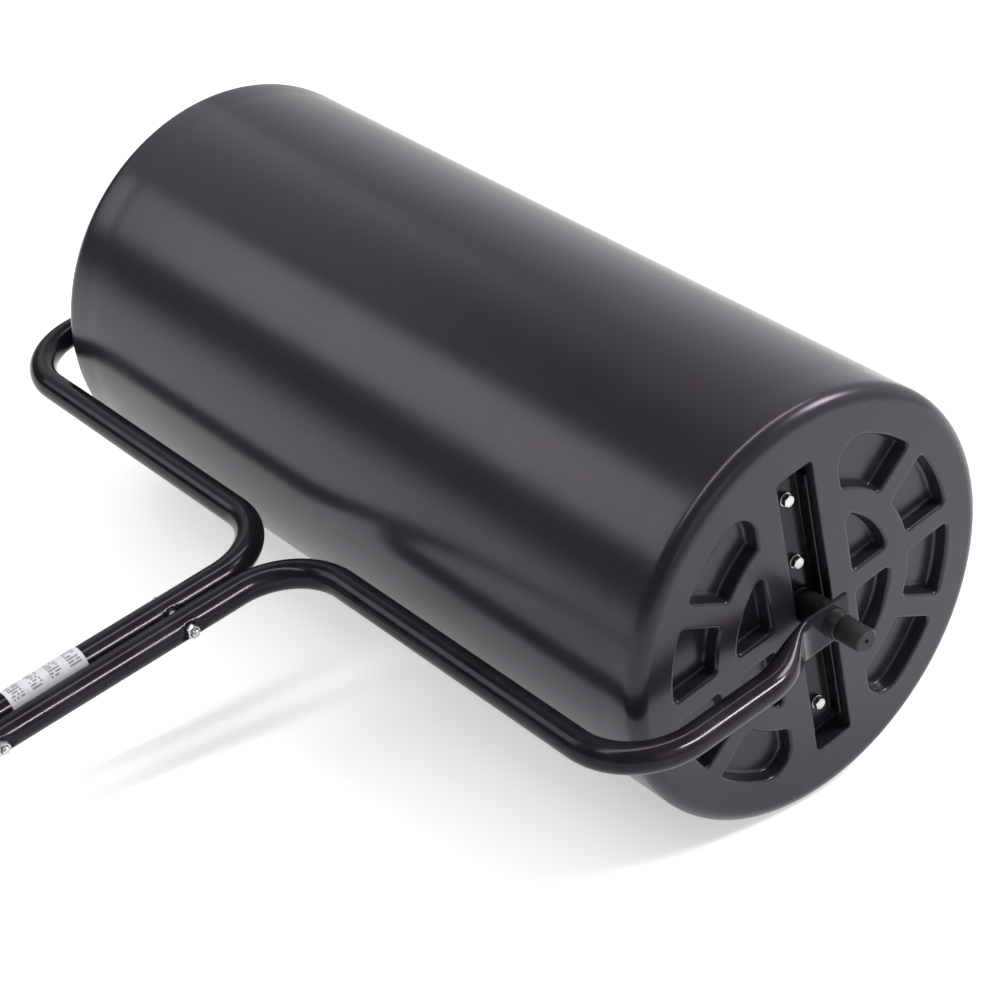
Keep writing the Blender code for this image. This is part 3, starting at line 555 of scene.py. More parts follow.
def add_cavity(shell, hole):
    """The water space inside the shell, joined to the outside by the filling hole."""
    edge = EDGE_RADIUS - CAVITY_WALL
    half = END_HALF - CAVITY_END
    radius = DRUM_RADIUS - CAVITY_WALL
    profile = rim_arc(half, radius, edge, 6)
    profile += [(-x, r) for x, r in reversed(profile)]
    layers = shell.skin([circle(x, r, 96) for x, r in profile])
    for side, rim in ((1, layers[0]), (-1, layers[-1])):
        bosses = []
        for z in BOLT_SPOTS:
            root = end_circle(shell, side, -CAVITY_END, BOSS_RADIUS, (0, z), 24)
            tip = end_circle(shell, side, -BOSS_DEPTH, BOSS_RADIUS, (0, z), 24)
            shell.band(root, tip)
            shell.lid(tip)
            bosses.append(root)
        if side < 0:
            inner = end_circle(shell, side, -CAVITY_END, FILL_HOLE_RADIUS, fill_spot())
            shell.band(hole, inner)
            bosses.append(inner)
        shell.plane(rim, bosses, flat_yz)


def drum_mesh():
    """The blow-moulded shell: a slightly wavy side, rounded edges, moulded ends and a hollow inside."""
    shell = Shell()
    straight = END_HALF - EDGE_RADIUS
    edge = rim_arc(END_HALF, DRUM_RADIUS, EDGE_RADIUS, 12)
    guard = (END_HALF, DRUM_RADIUS - EDGE_RADIUS - 1 * MM)
    side = [(straight * (1 - 2 * k / SIDE_ROWS), DRUM_RADIUS) for k in range(1, SIDE_ROWS)]
    profile = [guard] + edge + side + [(-x, r) for x, r in reversed([guard] + edge)]
    rings = []
    for x, radius in profile:
        ring = []
        for i in range(DRUM_SIDES):
            turn = 2 * math.pi * i / DRUM_SIDES
            depth = wave(x, turn) if abs(x) < straight else 0
            reach = radius - depth
            ring.append((x, reach * math.cos(turn), reach * math.sin(turn)))
        rings.append(ring)
    layers = shell.skin(rings)
    add_drum_end(shell, 1, layers[0])
    hole = add_drum_end(shell, -1, layers[-1])
    add_cavity(shell, hole)
    return shell.mesh("drum_shell", 50)


# Fasteners, turned about X


def hexagon(x, across_flats):
    sides, sector = 48, math.pi / 3
    ring = []
    for i in range(sides):
        turn = 2 * math.pi * i / sides
        reach = across_flats / 2 / math.cos((turn % sector) - sector / 2)
        ring.append((x, reach * math.cos(turn), reach * math.sin(turn)))
    return ring


def coned_hexagon(x, across_flats, flat_radius, direction):
    """A hexagon cut by a 30 degree cone, as the chamfer of a bolt head cuts it."""
    ring = []
    for _, y, z in hexagon(x, across_flats):
        over = max(0.0, math.hypot(y, z) - flat_radius)
        ring.append((x - direction * over * math.tan(math.radians(30)), y, z))
    return ring


def thread_rings(start, end, radius, depth, pitch):
    """Rings of a helical thread from start to end, fading out at both ends."""
    sides, rings_a_turn = 48, 8
    direction = 1 if end > start else -1
    count = max(2, round(abs(end - start) / pitch * rings_a_turn))
    rings = []
    for i in range(count + 1):
        x = start + (end - start) * i / count
        fade = min(1.0, 3 * i / count, 3 * (count - i) / count)
        ring = []
        for k in range(sides):
            turn = 2 * math.pi * k / sides
            phase = (direction * (x - start) / pitch - k / sides) % 1
            cut = depth * fade * abs(2 * phase - 1)
            ring.append((x, (radius - cut) * math.cos(turn), (radius - cut) * math.sin(turn)))
        rings.append(ring)
    return rings


def bolt_mesh(name, size, base, tip, thread):
    """A hex bolt along X: its head rises from base, its shank ends at tip, its last part is threaded."""
    across_flats, height, radius = size
    top, flat = base + height, 0.47 * across_flats
    rings = [
        circle(top - 0.25 * MM, 0.30 * across_flats),
        circle(top - 0.25 * MM, 0.36 * across_flats),
        circle(top, 0.39 * across_flats),
        circle(top, flat),
        coned_hexagon(top, across_flats, flat, 1),
        hexagon(base + 0.4 * MM, across_flats),
        circle(base + 0.4 * MM, flat),
        circle(base, 0.46 * across_flats),
        circle(base, radius + 0.3 * MM),
        circle(base - 0.3 * MM, radius),
    ]
    rings += thread_rings(tip + thread, tip + 0.8 * MM, radius, 0.55 * MM, 1.25 * MM)
    rings += [circle(x, reach) for x, reach in steps(tip, radius, (0.8, -0.1), (0, -0.8))]
    return solid(name, rings, 28)


def nut_mesh(name, size, base):
    """A hex nut along X, rising from base, chamfered at both ends of its bore."""
    across_flats, height, bore = size
    top, flat = base + height, 0.47 * across_flats
    rings = [circle(x, reach) for x, reach in steps(base, bore, (0.5, 0), (0, 0.5))]
    rings += [circle(base, flat), coned_hexagon(base, across_flats, flat, -1)]
    rings += [coned_hexagon(top, across_flats, flat, 1), circle(top, flat)]
    rings += [circle(x, reach) for x, reach in steps(top, bore, (0, 0.5), (-0.5, 0))]
    return solid(name, rings, 28, loop=True)


def collar(name, x0, x1, radii, edge, sides=72):
    """A plain ring from x0 to x1 with softened edges; radii are its bore and its outside."""
    inner, outer = radii
    corners = [(x0, inner), (x0, outer), (x1, outer), (x1, inner)]
    return turned(name, rounded(corners, edge, 3, closed=True), sides, loop=True)


# End fittings of the drum


def bracket_mesh():
    """A folded channel: web against the drum, flanges out."""
    inner = BRACKET_HALF_WIDTH - SHEET
    corners = [
        (FLANGE_EDGE, -BRACKET_HALF_WIDTH),
        (WEB_BACK, -BRACKET_HALF_WIDTH),
        (WEB_BACK, BRACKET_HALF_WIDTH),
        (FLANGE_EDGE, BRACKET_HALF_WIDTH),
        (FLANGE_EDGE, inner),
        (WEB_FRONT, inner),
        (WEB_FRONT, -inner),
        (FLANGE_EDGE, -inner),
    ]
    outer_bend, inner_bend, lip = 4 * MM, 1.2 * MM, 0.5 * MM
    radii = [lip, outer_bend, outer_bend, lip, lip, inner_bend, inner_bend, lip]
    section = rounded(corners, radii, 5, closed=True)
    half, edge = BRACKET_HALF_LENGTH, 0.4 * MM
    spans = (-half, -half + edge, 0, half - edge, half)
    mesh = solid("axle_bracket", [[(p.x, p.y, z) for p in section] for z in spans])
    through = (WEB_BACK - 2 * MM, WEB_FRONT + 2 * MM)
    tools = []
    for z in BOLT_SPOTS:
        tools.append(solid("bolt_hole", [circle(x, BRACKET_HOLE_RADIUS, 32, (0, z)) for x in through]))
    tools.append(solid("spigot_hole", [circle(x, SPIGOT_HOLE_RADIUS) for x in through]))
    return bored(mesh, tools)


def stub_mesh():
    """The axle stub, with a shallow groove past the bush, a chamfered end and a centre mark."""
    base = WEB_FRONT + GAP
    profile = steps(WEB_BACK + GAP, SPIGOT_RADIUS, (0, -0.4), (0.4, 0))
    profile += [(base, SPIGOT_RADIUS), (base, AXLE_RADIUS)]
    profile += steps(BUSH_END, AXLE_RADIUS, (1.0, 0), (1.3, -0.25), (2.2, -0.25), (2.5, 0))
    profile += steps(AXLE_END, AXLE_RADIUS, (-1.2, 0), (-0.3, -1.0), (0, -1.5))
    profile += steps(AXLE_END, 0, (0, 2.6), (-1.9, 1.0))
    return turned("axle_stub", profile, 72, sharp=28)


def weld_mesh():
    """A rippled weld bead round the foot of the axle, on the bracket's web."""
    around, section, ripples = 144, 12, 34
    bead, ring_radius, sunk = 3.0 * MM, 16.2 * MM, -0.1 * MM
    rings = []
    for i in range(around):
        turn = 2 * math.pi * i / around
        ripple = 0.44 * MM * abs((turn * ripples / (2 * math.pi)) % 1 - 0.5)
        size = bead + ripple + 0.25 * MM * math.sin(5 * turn)
        ring = []
        for k in range(section):
            roll = 2 * math.pi * k / section
            height = WEB_FRONT + 0.2 * MM + max(sunk, size * 0.8 * math.sin(roll))
            reach = ring_radius + max(sunk, size * math.cos(roll))
            ring.append((height, reach * math.cos(turn), reach * math.sin(turn)))
        rings.append(ring)
    return solid("axle_weld", rings, 60, loop=True)


def bush_mesh():
    """The frame's plastic bush: a flange against the tube's flat end and a sleeve through it."""
    flange_end = PLATE_MIDDLE - PLATE_HALF_THICKNESS - GAP
    inner, flange, sleeve = 13.0 * MM, 19.0 * MM, 14.2 * MM
    corners = [
        (BUSH_FLANGE_START, inner),
        (BUSH_FLANGE_START, flange),
        (flange_end, flange),
        (flange_end, sleeve),
        (BUSH_END, sleeve),
        (BUSH_END, inner),
    ]
    radii = [0.3 * MM, 0.7 * MM, 0.7 * MM, 0.2 * MM, 0.5 * MM, 0.3 * MM]
    return turned("frame_bush", rounded(corners, radii, 3, closed=True), 72, loop=True)


def plug_mesh():
    """The hollow filling plug: a hexagonal cap with a dished top and a coarse threaded neck."""
    base = GASKET_TOP + GAP
    top, across, neck, bore = base + 9 * MM, 34 * MM, 13.8 * MM, 10.0 * MM
    flat, neck_end = 0.475 * across, -POCKET_DEPTH - 16 * MM
    dish = steps(top, 0, (-1.6, 8.0), (-1.6, 10.5), (-1.0, 11.8), (0, 12.6))
    rings = [circle(x, radius) for x, radius in dish]
    rings += [circle(top, flat), coned_hexagon(top, across, flat, 1), hexagon(base + 0.3 * MM, across)]
    rings += [circle(base + 0.3 * MM, 0.485 * across), circle(base, flat), circle(base, neck)]
    rings += thread_rings(base - 2.5 * MM, neck_end + 1 * MM, neck, 0.9 * MM, 3 * MM)
    rings += [circle(neck_end, neck - 1.2 * MM), circle(neck_end, bore), circle(base + 3 * MM, bore)]
    return solid("fill_plug", rings, 30)


# Frame tubes


def ease(t):
    t = min(max(t, 0.0), 1.0)
    return (1 - math.cos(math.pi * t)) / 2


def arm_x(s):
    start = END_HALF + PLATE_MIDDLE
    return start + (ARM_X - start) * ease((s - S_BEND_START) / (S_BEND_END - S_BEND_START))


def spread(start, end, step):
    count = max(1, round((end - start) / step))
    return [start + (end - start) * i / count for i in range(count + 1)]


def tongue_run(start, end, step):
    return [(TONGUE_HALF_SPACING, s, 0, 1) for s in spread(start, end, step)]


def tube_stations():
    """(x, s, heading x, heading s) along the right tube's centreline, close together where it changes."""
    stations = []
    small = 0.5 * MM
    for s in spread(-PLATE_OVERHANG, S_BEND_END, 2.5 * MM):
        lean = (arm_x(s + small) - arm_x(s - small)) / (2 * small)
        length = math.hypot(lean, 1)
        stations.append((arm_x(s), s, lean / length, 1 / length))
    bend_steps, crosspiece_steps = 28, 24
    turns = [math.pi / 2 * i / bend_steps for i in range(bend_steps + 1)]
    first = CROSSPIECE_S - BEND_RADIUS
    stations += [(ARM_X, s, 0, 1) for s in spread(S_BEND_END, first, TUBE_STEP)[1:-1]]
    for turn in turns:
        x = ARM_X - BEND_RADIUS * (1 - math.cos(turn))
        s = CROSSPIECE_S - BEND_RADIUS * (1 - math.sin(turn))
        stations.append((x, s, -math.sin(turn), math.cos(turn)))
    inner = TONGUE_HALF_SPACING + BEND_RADIUS
    reach = ARM_X - BEND_RADIUS - inner
    for i in range(1, crosspiece_steps):
        stations.append((inner + reach * (1 - i / crosspiece_steps), CROSSPIECE_S, -1, 0))
    for turn in turns:
        x = inner - BEND_RADIUS * math.sin(turn)
        s = CROSSPIECE_S + BEND_RADIUS * (1 - math.cos(turn))
        stations.append((x, s, -math.cos(turn), math.sin(turn)))
    last = CROSSPIECE_S + BEND_RADIUS
    for spot in PINCH_SPOTS:
        stations += tongue_run(last, spot - PINCH_REACH, TUBE_STEP)[1:-1]
        stations += tongue_run(spot - PINCH_REACH, spot + PINCH_REACH, 1.25 * MM)
        last = spot + PINCH_REACH
    return stations + tongue_run(last, TONGUE_END_S, TUBE_STEP)[1:-1]


def stadium(straight_half, end_radius, sides):
    """(across, up) points evenly spaced round a shape with two straight sides and two round ends."""
    total = 4 * straight_half + 2 * math.pi * end_radius
    ring = []
    for i in range(sides):
        way = total * i / sides
        across, up = end_radius, way
        if way > straight_half:
            way -= straight_half
            arc = math.pi * end_radius
            if way <= arc:
                turn = way / end_radius
                across = end_radius * math.cos(turn)
                up = straight_half + end_radius * math.sin(turn)
            elif way <= arc + 2 * straight_half:
                across, up = -end_radius, straight_half - (way - arc)
            elif way <= 2 * arc + 2 * straight_half:
                turn = (way - arc - 2 * straight_half) / end_radius
                across = -end_radius * math.cos(turn)
                up = -straight_half - end_radius * math.sin(turn)
            else:
                across, up = end_radius, -straight_half + (way - 2 * arc - 2 * straight_half)
        ring.append((across, up))
    return ring


def dished(across, up, s):
    """How the cross bolts have pulled the tube's walls in round each bolt."""
    for spot in PINCH_SPOTS:
        away = math.hypot(s - spot, up)
        share = 1 - ease((away - PINCH_FLAT) / PINCH_SLOPE)
        limit = TUBE_RADIUS - (TUBE_RADIUS - PINCH_HALF_WIDTH) * share
        if share > 0 and abs(across) > limit:
            across = math.copysign(limit, across)
    return across


def tube_ring(station, shrink=0.0, plate=None):
    x, s, head_x, head_s = station
    flatness = 1 - ease((s - PLATE_FLAT) / (FLATTEN_END - PLATE_FLAT)) if x > 0.4 else 0.0
    straight = (PLATE_HALF_WIDTH - PLATE_HALF_THICKNESS) * flatness
    radius = TUBE_RADIUS + (PLATE_HALF_THICKNESS - TUBE_RADIUS) * flatness
    if plate:
        straight, radius = plate
    ring = []
    for across, up in stadium(straight, radius - shrink, TUBE_SIDES):
        across = dished(across, up, s)
        ring.append((x + across * head_s, -(s - across * head_x), up))
    return ring


def tube_mesh(side):
    """A bent tube: flat and slit at the axle, dished at the cross bolts, open at the tongue's end."""
    stations = tube_stations()
    start, end = stations[0], TONGUE_END_S
    edge, bore = 0.5 * MM, TUBE_RADIUS - TUBE_WALL
    slit, slit_depth, bore_depth = (18.6 * MM, 0.22 * MM), 1.6 * MM, 20 * MM
    rings = [
        tube_ring((start[0], start[1] + slit_depth, 0, 1), plate=slit),
        tube_ring(start, plate=slit),
        tube_ring(start, shrink=edge),
        tube_ring((start[0], start[1] + edge, 0, 1)),
    ]
    rings += [tube_ring(station) for station in stations[1:]]
    mouth = ((end - edge, TUBE_RADIUS), (end, TUBE_RADIUS - edge), (end, bore), (end - bore_depth, bore))
    for s, radius in mouth:
        rings.append(tube_ring((TONGUE_HALF_SPACING, s, 0, 1), plate=(0, radius)))
    mesh = solid("frame_tube", [[(side * x, y, z) for x, y, z in ring] for ring in rings])
    eye = side * (END_HALF + PLATE_MIDDLE)
    tools = [solid("bush_seat", [circle(eye + x, BUSH_SEAT_RADIUS, 64) for x in (-6 * MM, 6 * MM)])]
    through = (-TOOL_REACH, TOOL_REACH)
    for spot in PINCH_SPOTS:
        tools.append(solid("cross_hole", [circle(x, CROSS_HOLE_RADIUS, 32, (-spot, 0)) for x in through]))
    middle = side * TONGUE_HALF_SPACING
    for spot in HITCH_BOLT_SPOTS:
        stud = [circle(z, HITCH_HOLE_RADIUS, 32, (-spot, 0)) for z in through]
        tools.append(solid("hitch_hole", [[(z + middle, y, x) for x, y, z in ring] for ring in stud]))
    return bored(mesh, tools)


def cap_mesh():
    """A push-in plastic cap, domed outside, with a ribbed stem."""
    start = TONGUE_END_S + GAP
    profile = steps(start, 0, (-12, 11.2))
    for root in (-11, -8.5, -6, -3.5):
        profile += steps(start, 0, (root, 11.8), (root + 0.8, 12.5), (root + 1.6, 11.8))
    dome = ((0, 11.8), (0, 15.0), (1.0, 15.2), (2.0, 14.6), (2.7, 12.0), (3.0, 6.0), (3.0, 2.0))
    return turned("tube_cap", profile + steps(start, 0, *dome), 64, sharp=50)


# Hitch


def strap_path():
    """The middle of the strap's sheet as (s, q) points, from its start to the tip of its lip."""
    half = STRAP_SHEET / 2
    lean = math.atan2(JOGGLE_DEPTH, JOGGLE_LENGTH) / 2
    shift = half * math.tan(lean)
    tip_s = LIP_BEND_S + LIP_LENGTH * math.cos(LIP_ANGLE)
    tip_q = THROAT_HALF + LIP_LENGTH * math.sin(LIP_ANGLE)
    corners = [
        (STRAP_START_S, STRAP_INSIDE + half),
        (JOGGLE_START_S + shift, STRAP_INSIDE + half),
        (JOGGLE_START_S + JOGGLE_LENGTH + shift, THROAT_HALF + half),
        (LIP_BEND_S - half * math.tan(LIP_ANGLE / 2), THROAT_HALF + half),
        ((tip_s + LIP_CORNER_S) / 2, (tip_q + LIP_CORNER_Q) / 2),
    ]
    bent = rounded(corners, [0, 7 * MM, 7 * MM, 9 * MM, 0], 6)
    path = []
    for a, b in zip(bent, bent[1:]):
        count = max(1, round((b - a).length / (6 * MM)))
        path += [a.lerp(b, i / count) for i in range(count)]
    return path + [bent[-1]]


def strap_mesh(side):
    """A joggled strap with a flared lip, rounded in plan at both ends."""
    path = strap_path()
    lengths = [0.0]
    for a, b in zip(path, path[1:]):
        lengths.append(lengths[-1] + (b - a).length)
    total = lengths[-1]
    corner, corner_steps = 9 * MM, 8
    turns = [math.pi / 2 * k / corner_steps for k in range(1, corner_steps + 1)]
    stops = [corner * (1 - math.cos(turn)) for turn in turns]
    middle = {way for way in lengths if corner < way < total - corner}
    marks = sorted({0.0, total, *stops, *(total - stop for stop in stops)} | middle)
    half, edge = STRAP_SHEET / 2, 0.8 * MM
    rings = []
    for mark in marks:
        i = max(k for k, way in enumerate(lengths[:-1]) if way <= mark + 1e-9)
        heading = (path[i + 1] - path[i]).normalized()
        if 0 < i and abs(lengths[i] - mark) < 1e-9:
            heading = (path[i + 1] - path[i - 1]).normalized()
        point = path[i] + (path[i + 1] - path[i]).normalized() * (mark - lengths[i])
        normal = Vector((-heading.y, heading.x))
        into = max(0.0, corner - min(mark, total - mark))
        width = STRAP_HALF_WIDTH - (corner - math.sqrt(max(0.0, corner**2 - into**2)))
        thick = half if min(mark, total - mark) > 0 else half - edge * 0.5
        corners = [(-width, -thick), (width, -thick), (width, thick), (-width, thick)]
        ring = []
        for across, up in rounded(corners, edge, 3, closed=True):
            spot = point + normal * up
            ring.append((across, -spot.x, side * spot.y))
        rings.append(ring)
    mesh = solid("hitch_strap", rings)
    tools = []
    for s in HITCH_BOLT_SPOTS:
        for x in (-TONGUE_HALF_SPACING, TONGUE_HALF_SPACING):
            tools.append(upright_hole(x, s, HITCH_HOLE_RADIUS))
    tools.append(upright_hole(0, PIN_S, PIN_HOLE_RADIUS))
    return bored(mesh, tools)


def upright_hole(x, s, radius):
    rings = [circle(z, radius, 40) for z in (-TOOL_REACH, TOOL_REACH)]
    return solid("upright_hole", [[(px + x, py - s, z) for z, px, py in ring] for ring in rings])


def pin_mesh():
    """The hitch pin along X: tapered nose, shank, collar, neck and a rounded grip."""
    seat = THROAT_HALF + STRAP_SHEET + GAP
    tail = -THROAT_HALF - STRAP_SHEET - 18 * MM
    profile = steps(tail, 0, (0, 2.6), (0.6, 3.6))
    profile += steps(tail, PIN_RADIUS, (4.6, 0), (9.0, 0), (9.3, -0.5), (11.0, -0.5), (11.3, 0))
    profile.append((seat, PIN_RADIUS))
    profile += steps(seat, 0, (0, 12.4), (0.6, 13.0), (3.4, 13.0), (4.0, 12.4))
    profile += steps(seat, 0, (4.4, 8.6), (5.6, 7.0), (8.0, 6.5), (15.0, 6.5))
    knob_radius, knob_half, knob_middle, count = 13.5 * MM, 8 * MM, seat + 24 * MM, 13
    for k in range(1, count + 1):
        turn = math.pi * (0.10 + 0.82 * k / count)
        profile.append((knob_middle - knob_half * math.cos(turn), knob_radius * math.sin(turn) ** 0.7))
    return turned("hitch_pin", profile, 64, sharp=30)


# Label


def label_mesh():
    """A thin label wrapped over the left tube, with a flat map of its face for the print."""
    inner, outer = TUBE_RADIUS + 0.10 * MM, TUBE_RADIUS + 0.32 * MM
    first, last = math.radians(15), math.radians(165)
    length = LABEL_END_S - LABEL_START_S
    across, along = 40, 24
    made = Shell()
    rims = []
    for radius in (outer, inner):
        rows = []
        for i in range(along + 1):
            y = -(LABEL_START_S + length * i / along)
            turns = [first + (last - first) * k / across for k in range(across + 1)]
            points = [(radius * math.cos(t) - TONGUE_HALF_SPACING, y, radius * math.sin(t)) for t in turns]
            rows.append(made.ring(points))
        rims.append(edge_of(rows))
        for a, b in zip(rows, rows[1:]):
            for k in range(across):
                made.faces.append((a[k], a[k + 1], b[k + 1], b[k]))
    made.band(*rims)
    mesh = made.mesh("tube_label")
    flat = mesh.uv_layers.new(name="print")
    for loop in mesh.loops:
        x, y, z = mesh.vertices[loop.vertex_index].co
        turn = math.atan2(z, x + TONGUE_HALF_SPACING)
        flat.data[loop.index].uv = ((-y - LABEL_START_S) / length, (turn - first) / (last - first))
    return mesh


def edge_of(rows):
    """The outer edge of a grid of point numbers, in order."""
    down = [row[-1] for row in rows[1:-1]]
    up = [row[0] for row in reversed(rows[1:-1])]
    return list(rows[0]) + down + list(reversed(rows[-1])) + up


# Materials

VIOLET = (0.90, 0.81, 1.0, 1.0)
RANGE_SOCKETS = ("From Min", "From Max", "To Min", "To Max")
MIX_COLOURS = (6, 7)
MIX_RESULT = 2


def set_range(node, *values):
    for socket, value in zip(RANGE_SOCKETS, values):
        node.inputs[socket].default_value = value


class Graph:
    """A material's node tree, with short calls for the nodes that the finishes share."""

    def __init__(self, name, colour, roughness, **values):
        self.material = bpy.data.materials.new(name)
        self.material["slot"] = name
        self.material.use_nodes = True
        self.tree = self.material.node_tree
        self.shader = self.tree.nodes["Principled BSDF"]
        self.shader.inputs["Base Color"].default_value = (*colour, 1)
        self.shader.inputs["Roughness"].default_value = roughness
        for socket, value in values.items():
            self.shader.inputs[socket.replace("_", " ")].default_value = value
        self.coord = self.add("ShaderNodeTexCoord").outputs["Object"]

    def add(self, kind, **settings):
        node = self.tree.nodes.new(kind)
        for key, value in settings.items():
            setattr(node, key, value)
        return node

    def join(self, source, target):
        self.tree.links.new(source, target)

    def stretched(self, scale):
        node = self.add("ShaderNodeMapping")
        node.inputs["Scale"].default_value = scale
        self.join(self.coord, node.inputs["Vector"])
        return node.outputs["Vector"]

    def noise(self, scale, detail, roughness, stretch=None, distortion=0.0):
        node = self.add("ShaderNodeTexNoise")
        node.inputs["Scale"].default_value = scale
        node.inputs["Detail"].default_value = detail
        node.inputs["Roughness"].default_value = roughness
        node.inputs["Distortion"].default_value = distortion
        self.join(self.stretched(stretch) if stretch else self.coord, node.inputs["Vector"])
        return node.outputs["Fac"]

    def cells(self, scale):
        node = self.add("ShaderNodeTexVoronoi")
        node.inputs["Scale"].default_value = scale
        self.join(self.coord, node.inputs["Vector"])
        return node.outputs["Distance"]

    def spread(self, source, low, high, to_low=0.0, to_high=1.0):
        node = self.add("ShaderNodeMapRange")
        set_range(node, low, high, to_low, to_high)
        self.join(source, node.inputs["Value"])
        return node.outputs["Result"]

    def maths(self, operation, first, second):
        node = self.add("ShaderNodeMath", operation=operation)
        for socket, value in zip(node.inputs, (first, second)):
            if isinstance(value, (int, float)):
                socket.default_value = value
            else:
                self.join(value, socket)
        return node.outputs["Value"]

    def tint(self, factor, first, second):
        node = self.add("ShaderNodeMix", data_type="RGBA")
        self.join(factor, node.inputs["Factor"])
        for number, value in zip(MIX_COLOURS, (first, second)):
            if isinstance(value, tuple):
                node.inputs[number].default_value = (*value, 1)
            else:
                self.join(value, node.inputs[number])
        return node.outputs[MIX_RESULT]

    def worn_edges(self):
        """1 on sharp outer edges, 0 on flat faces."""
        geometry = self.add("ShaderNodeNewGeometry")
        return self.spread(geometry.outputs["Pointiness"], 0.52, 0.60)

    def bump(self, height, strength, distance, after=None):
        node = self.add("ShaderNodeBump")
        node.inputs["Strength"].default_value = strength
        node.inputs["Distance"].default_value = distance
        self.join(height, node.inputs["Height"])
        if after:
            self.join(after, node.inputs["Normal"])
        return node.outputs["Normal"]

    def finish(self, colour=None, roughness=None, normal=None):
        for source, socket in ((colour, "Base Color"), (roughness, "Roughness"), (normal, "Normal")):
            if source is not None:
                self.join(source, self.shader.inputs[socket])
        return self.material


def drum_plastic():
    """Blow-moulded polyethylene: fine grain, slow drift of tone and gloss, faint scuffs round the drum."""
    g = Graph("drum_plastic", (0.016, 0.014, 0.018), 0.24, Specular_IOR_Level=0.36, Specular_Tint=VIOLET)
    drift = g.noise(3.2, 2.0, 0.5, stretch=(0.5, 1, 1))
    grain = g.noise(1500, 2.0, 0.6)
    scuffs = g.noise(90, 4.0, 0.7, stretch=(8, 0.5, 0.5))
    marks = g.spread(scuffs, 0.68, 0.80)
    mottled = g.noise(14, 3.0, 0.5)
    base = g.tint(g.spread(drift, 0.35, 0.65), (0.0145, 0.0125, 0.0165), (0.0185, 0.0162, 0.0205))
    base = g.tint(g.maths("MULTIPLY", marks, 0.02), base, (0.06, 0.054, 0.064))
    rough = g.maths("ADD", g.spread(mottled, 0.3, 0.7, 0.225, 0.255), g.maths("MULTIPLY", marks, 0.02))
    fine = g.bump(grain, 0.08, 0.2 * MM)
    soft = g.bump(g.noise(20, 2.0, 0.5), 0.08, 1.2 * MM, fine)
    return g.finish(base, rough, soft)


def frame_paint():
    """Gloss black powder coat: orange peel, faint dust specks, slightly duller patches."""
    g = Graph("frame_paint", (0.006, 0.005, 0.006), 0.16, Specular_IOR_Level=0.18, Specular_Tint=VIOLET)
    peel = g.noise(420, 2.0, 0.5)
    patches = g.noise(22, 3.0, 0.6)
    specks = g.spread(g.cells(240), 0.05, 0.02)
    base = g.tint(g.spread(patches, 0.35, 0.7), (0.005, 0.004, 0.005), (0.009, 0.008, 0.010))
    base = g.tint(g.maths("MULTIPLY", specks, 0.12), base, (0.10, 0.10, 0.10))
    rough = g.maths("ADD", g.spread(patches, 0.3, 0.7, 0.13, 0.22), g.maths("MULTIPLY", specks, 0.2))
    return g.finish(base, rough, g.bump(peel, 0.10, 0.25 * MM))


def axle_steel():
    """Blackened steel: turning marks round the axis and bright metal rubbed through on the edges."""
    g = Graph("axle_steel", (0.006, 0.005, 0.006), 0.30, Specular_IOR_Level=0.16, Specular_Tint=VIOLET)
    lines = g.noise(60, 3.0, 0.6, stretch=(60, 0.6, 0.6))
    stains = g.noise(120, 4.0, 0.65)
    base = g.tint(g.spread(stains, 0.35, 0.7), (0.004, 0.0035, 0.004), (0.009, 0.008, 0.010))
    base = g.tint(g.maths("MULTIPLY", g.worn_edges(), 0.4), base, (0.16, 0.155, 0.16))
    rough = g.spread(lines, 0.3, 0.7, 0.22, 0.38)
    return g.finish(base, rough, g.bump(lines, 0.18, 0.10 * MM))


def zinc_plate():
    """Bright zinc: pale blue to warm drift, fine tumbling marks, darker and duller where they gather."""
    g = Graph("zinc_plate", (0.72, 0.72, 0.74), 0.28, Metallic=1.0)
    drift = g.noise(180, 3.0, 0.6)
    marks = g.noise(1600, 3.0, 0.7)
    base = g.tint(g.spread(drift, 0.35, 0.65), (0.50, 0.51, 0.55), (0.62, 0.61, 0.59))
    base = g.tint(g.spread(marks, 0.62, 0.75, 0.0, 0.35), base, (0.45, 0.45, 0.47))
    rough = g.spread(marks, 0.3, 0.7, 0.20, 0.38)
    return g.finish(base, rough, g.bump(marks, 0.12, 0.08 * MM))


def bush_plastic():
    """Black nylon: faint flow marks and a satin face."""
    g = Graph("bush_plastic", (0.024, 0.022, 0.026), 0.36)
    flow = g.noise(70, 4.0, 0.6, stretch=(4, 1, 1), distortion=0.6)
    grain = g.noise(2200, 2.0, 0.6)
    base = g.tint(g.spread(flow, 0.35, 0.7), (0.020, 0.018, 0.022), (0.034, 0.031, 0.036))
    return g.finish(base, g.spread(flow, 0.3, 0.7, 0.30, 0.44), g.bump(grain, 0.10, 0.1 * MM))


def plug_plastic():
    """Moulded plug: fine even grain, paler rubbed corners."""
    g = Graph("plug_plastic", (0.032, 0.030, 0.035), 0.40)
    patches = g.noise(60, 3.0, 0.6)
    grain = g.noise(1800, 2.0, 0.6)
    base = g.tint(g.spread(patches, 0.35, 0.7), (0.026, 0.024, 0.029), (0.042, 0.040, 0.046))
    base = g.tint(g.maths("MULTIPLY", g.worn_edges(), 0.35), base, (0.11, 0.105, 0.115))
    return g.finish(base, g.spread(patches, 0.3, 0.7, 0.34, 0.50), g.bump(grain, 0.14, 0.15 * MM))


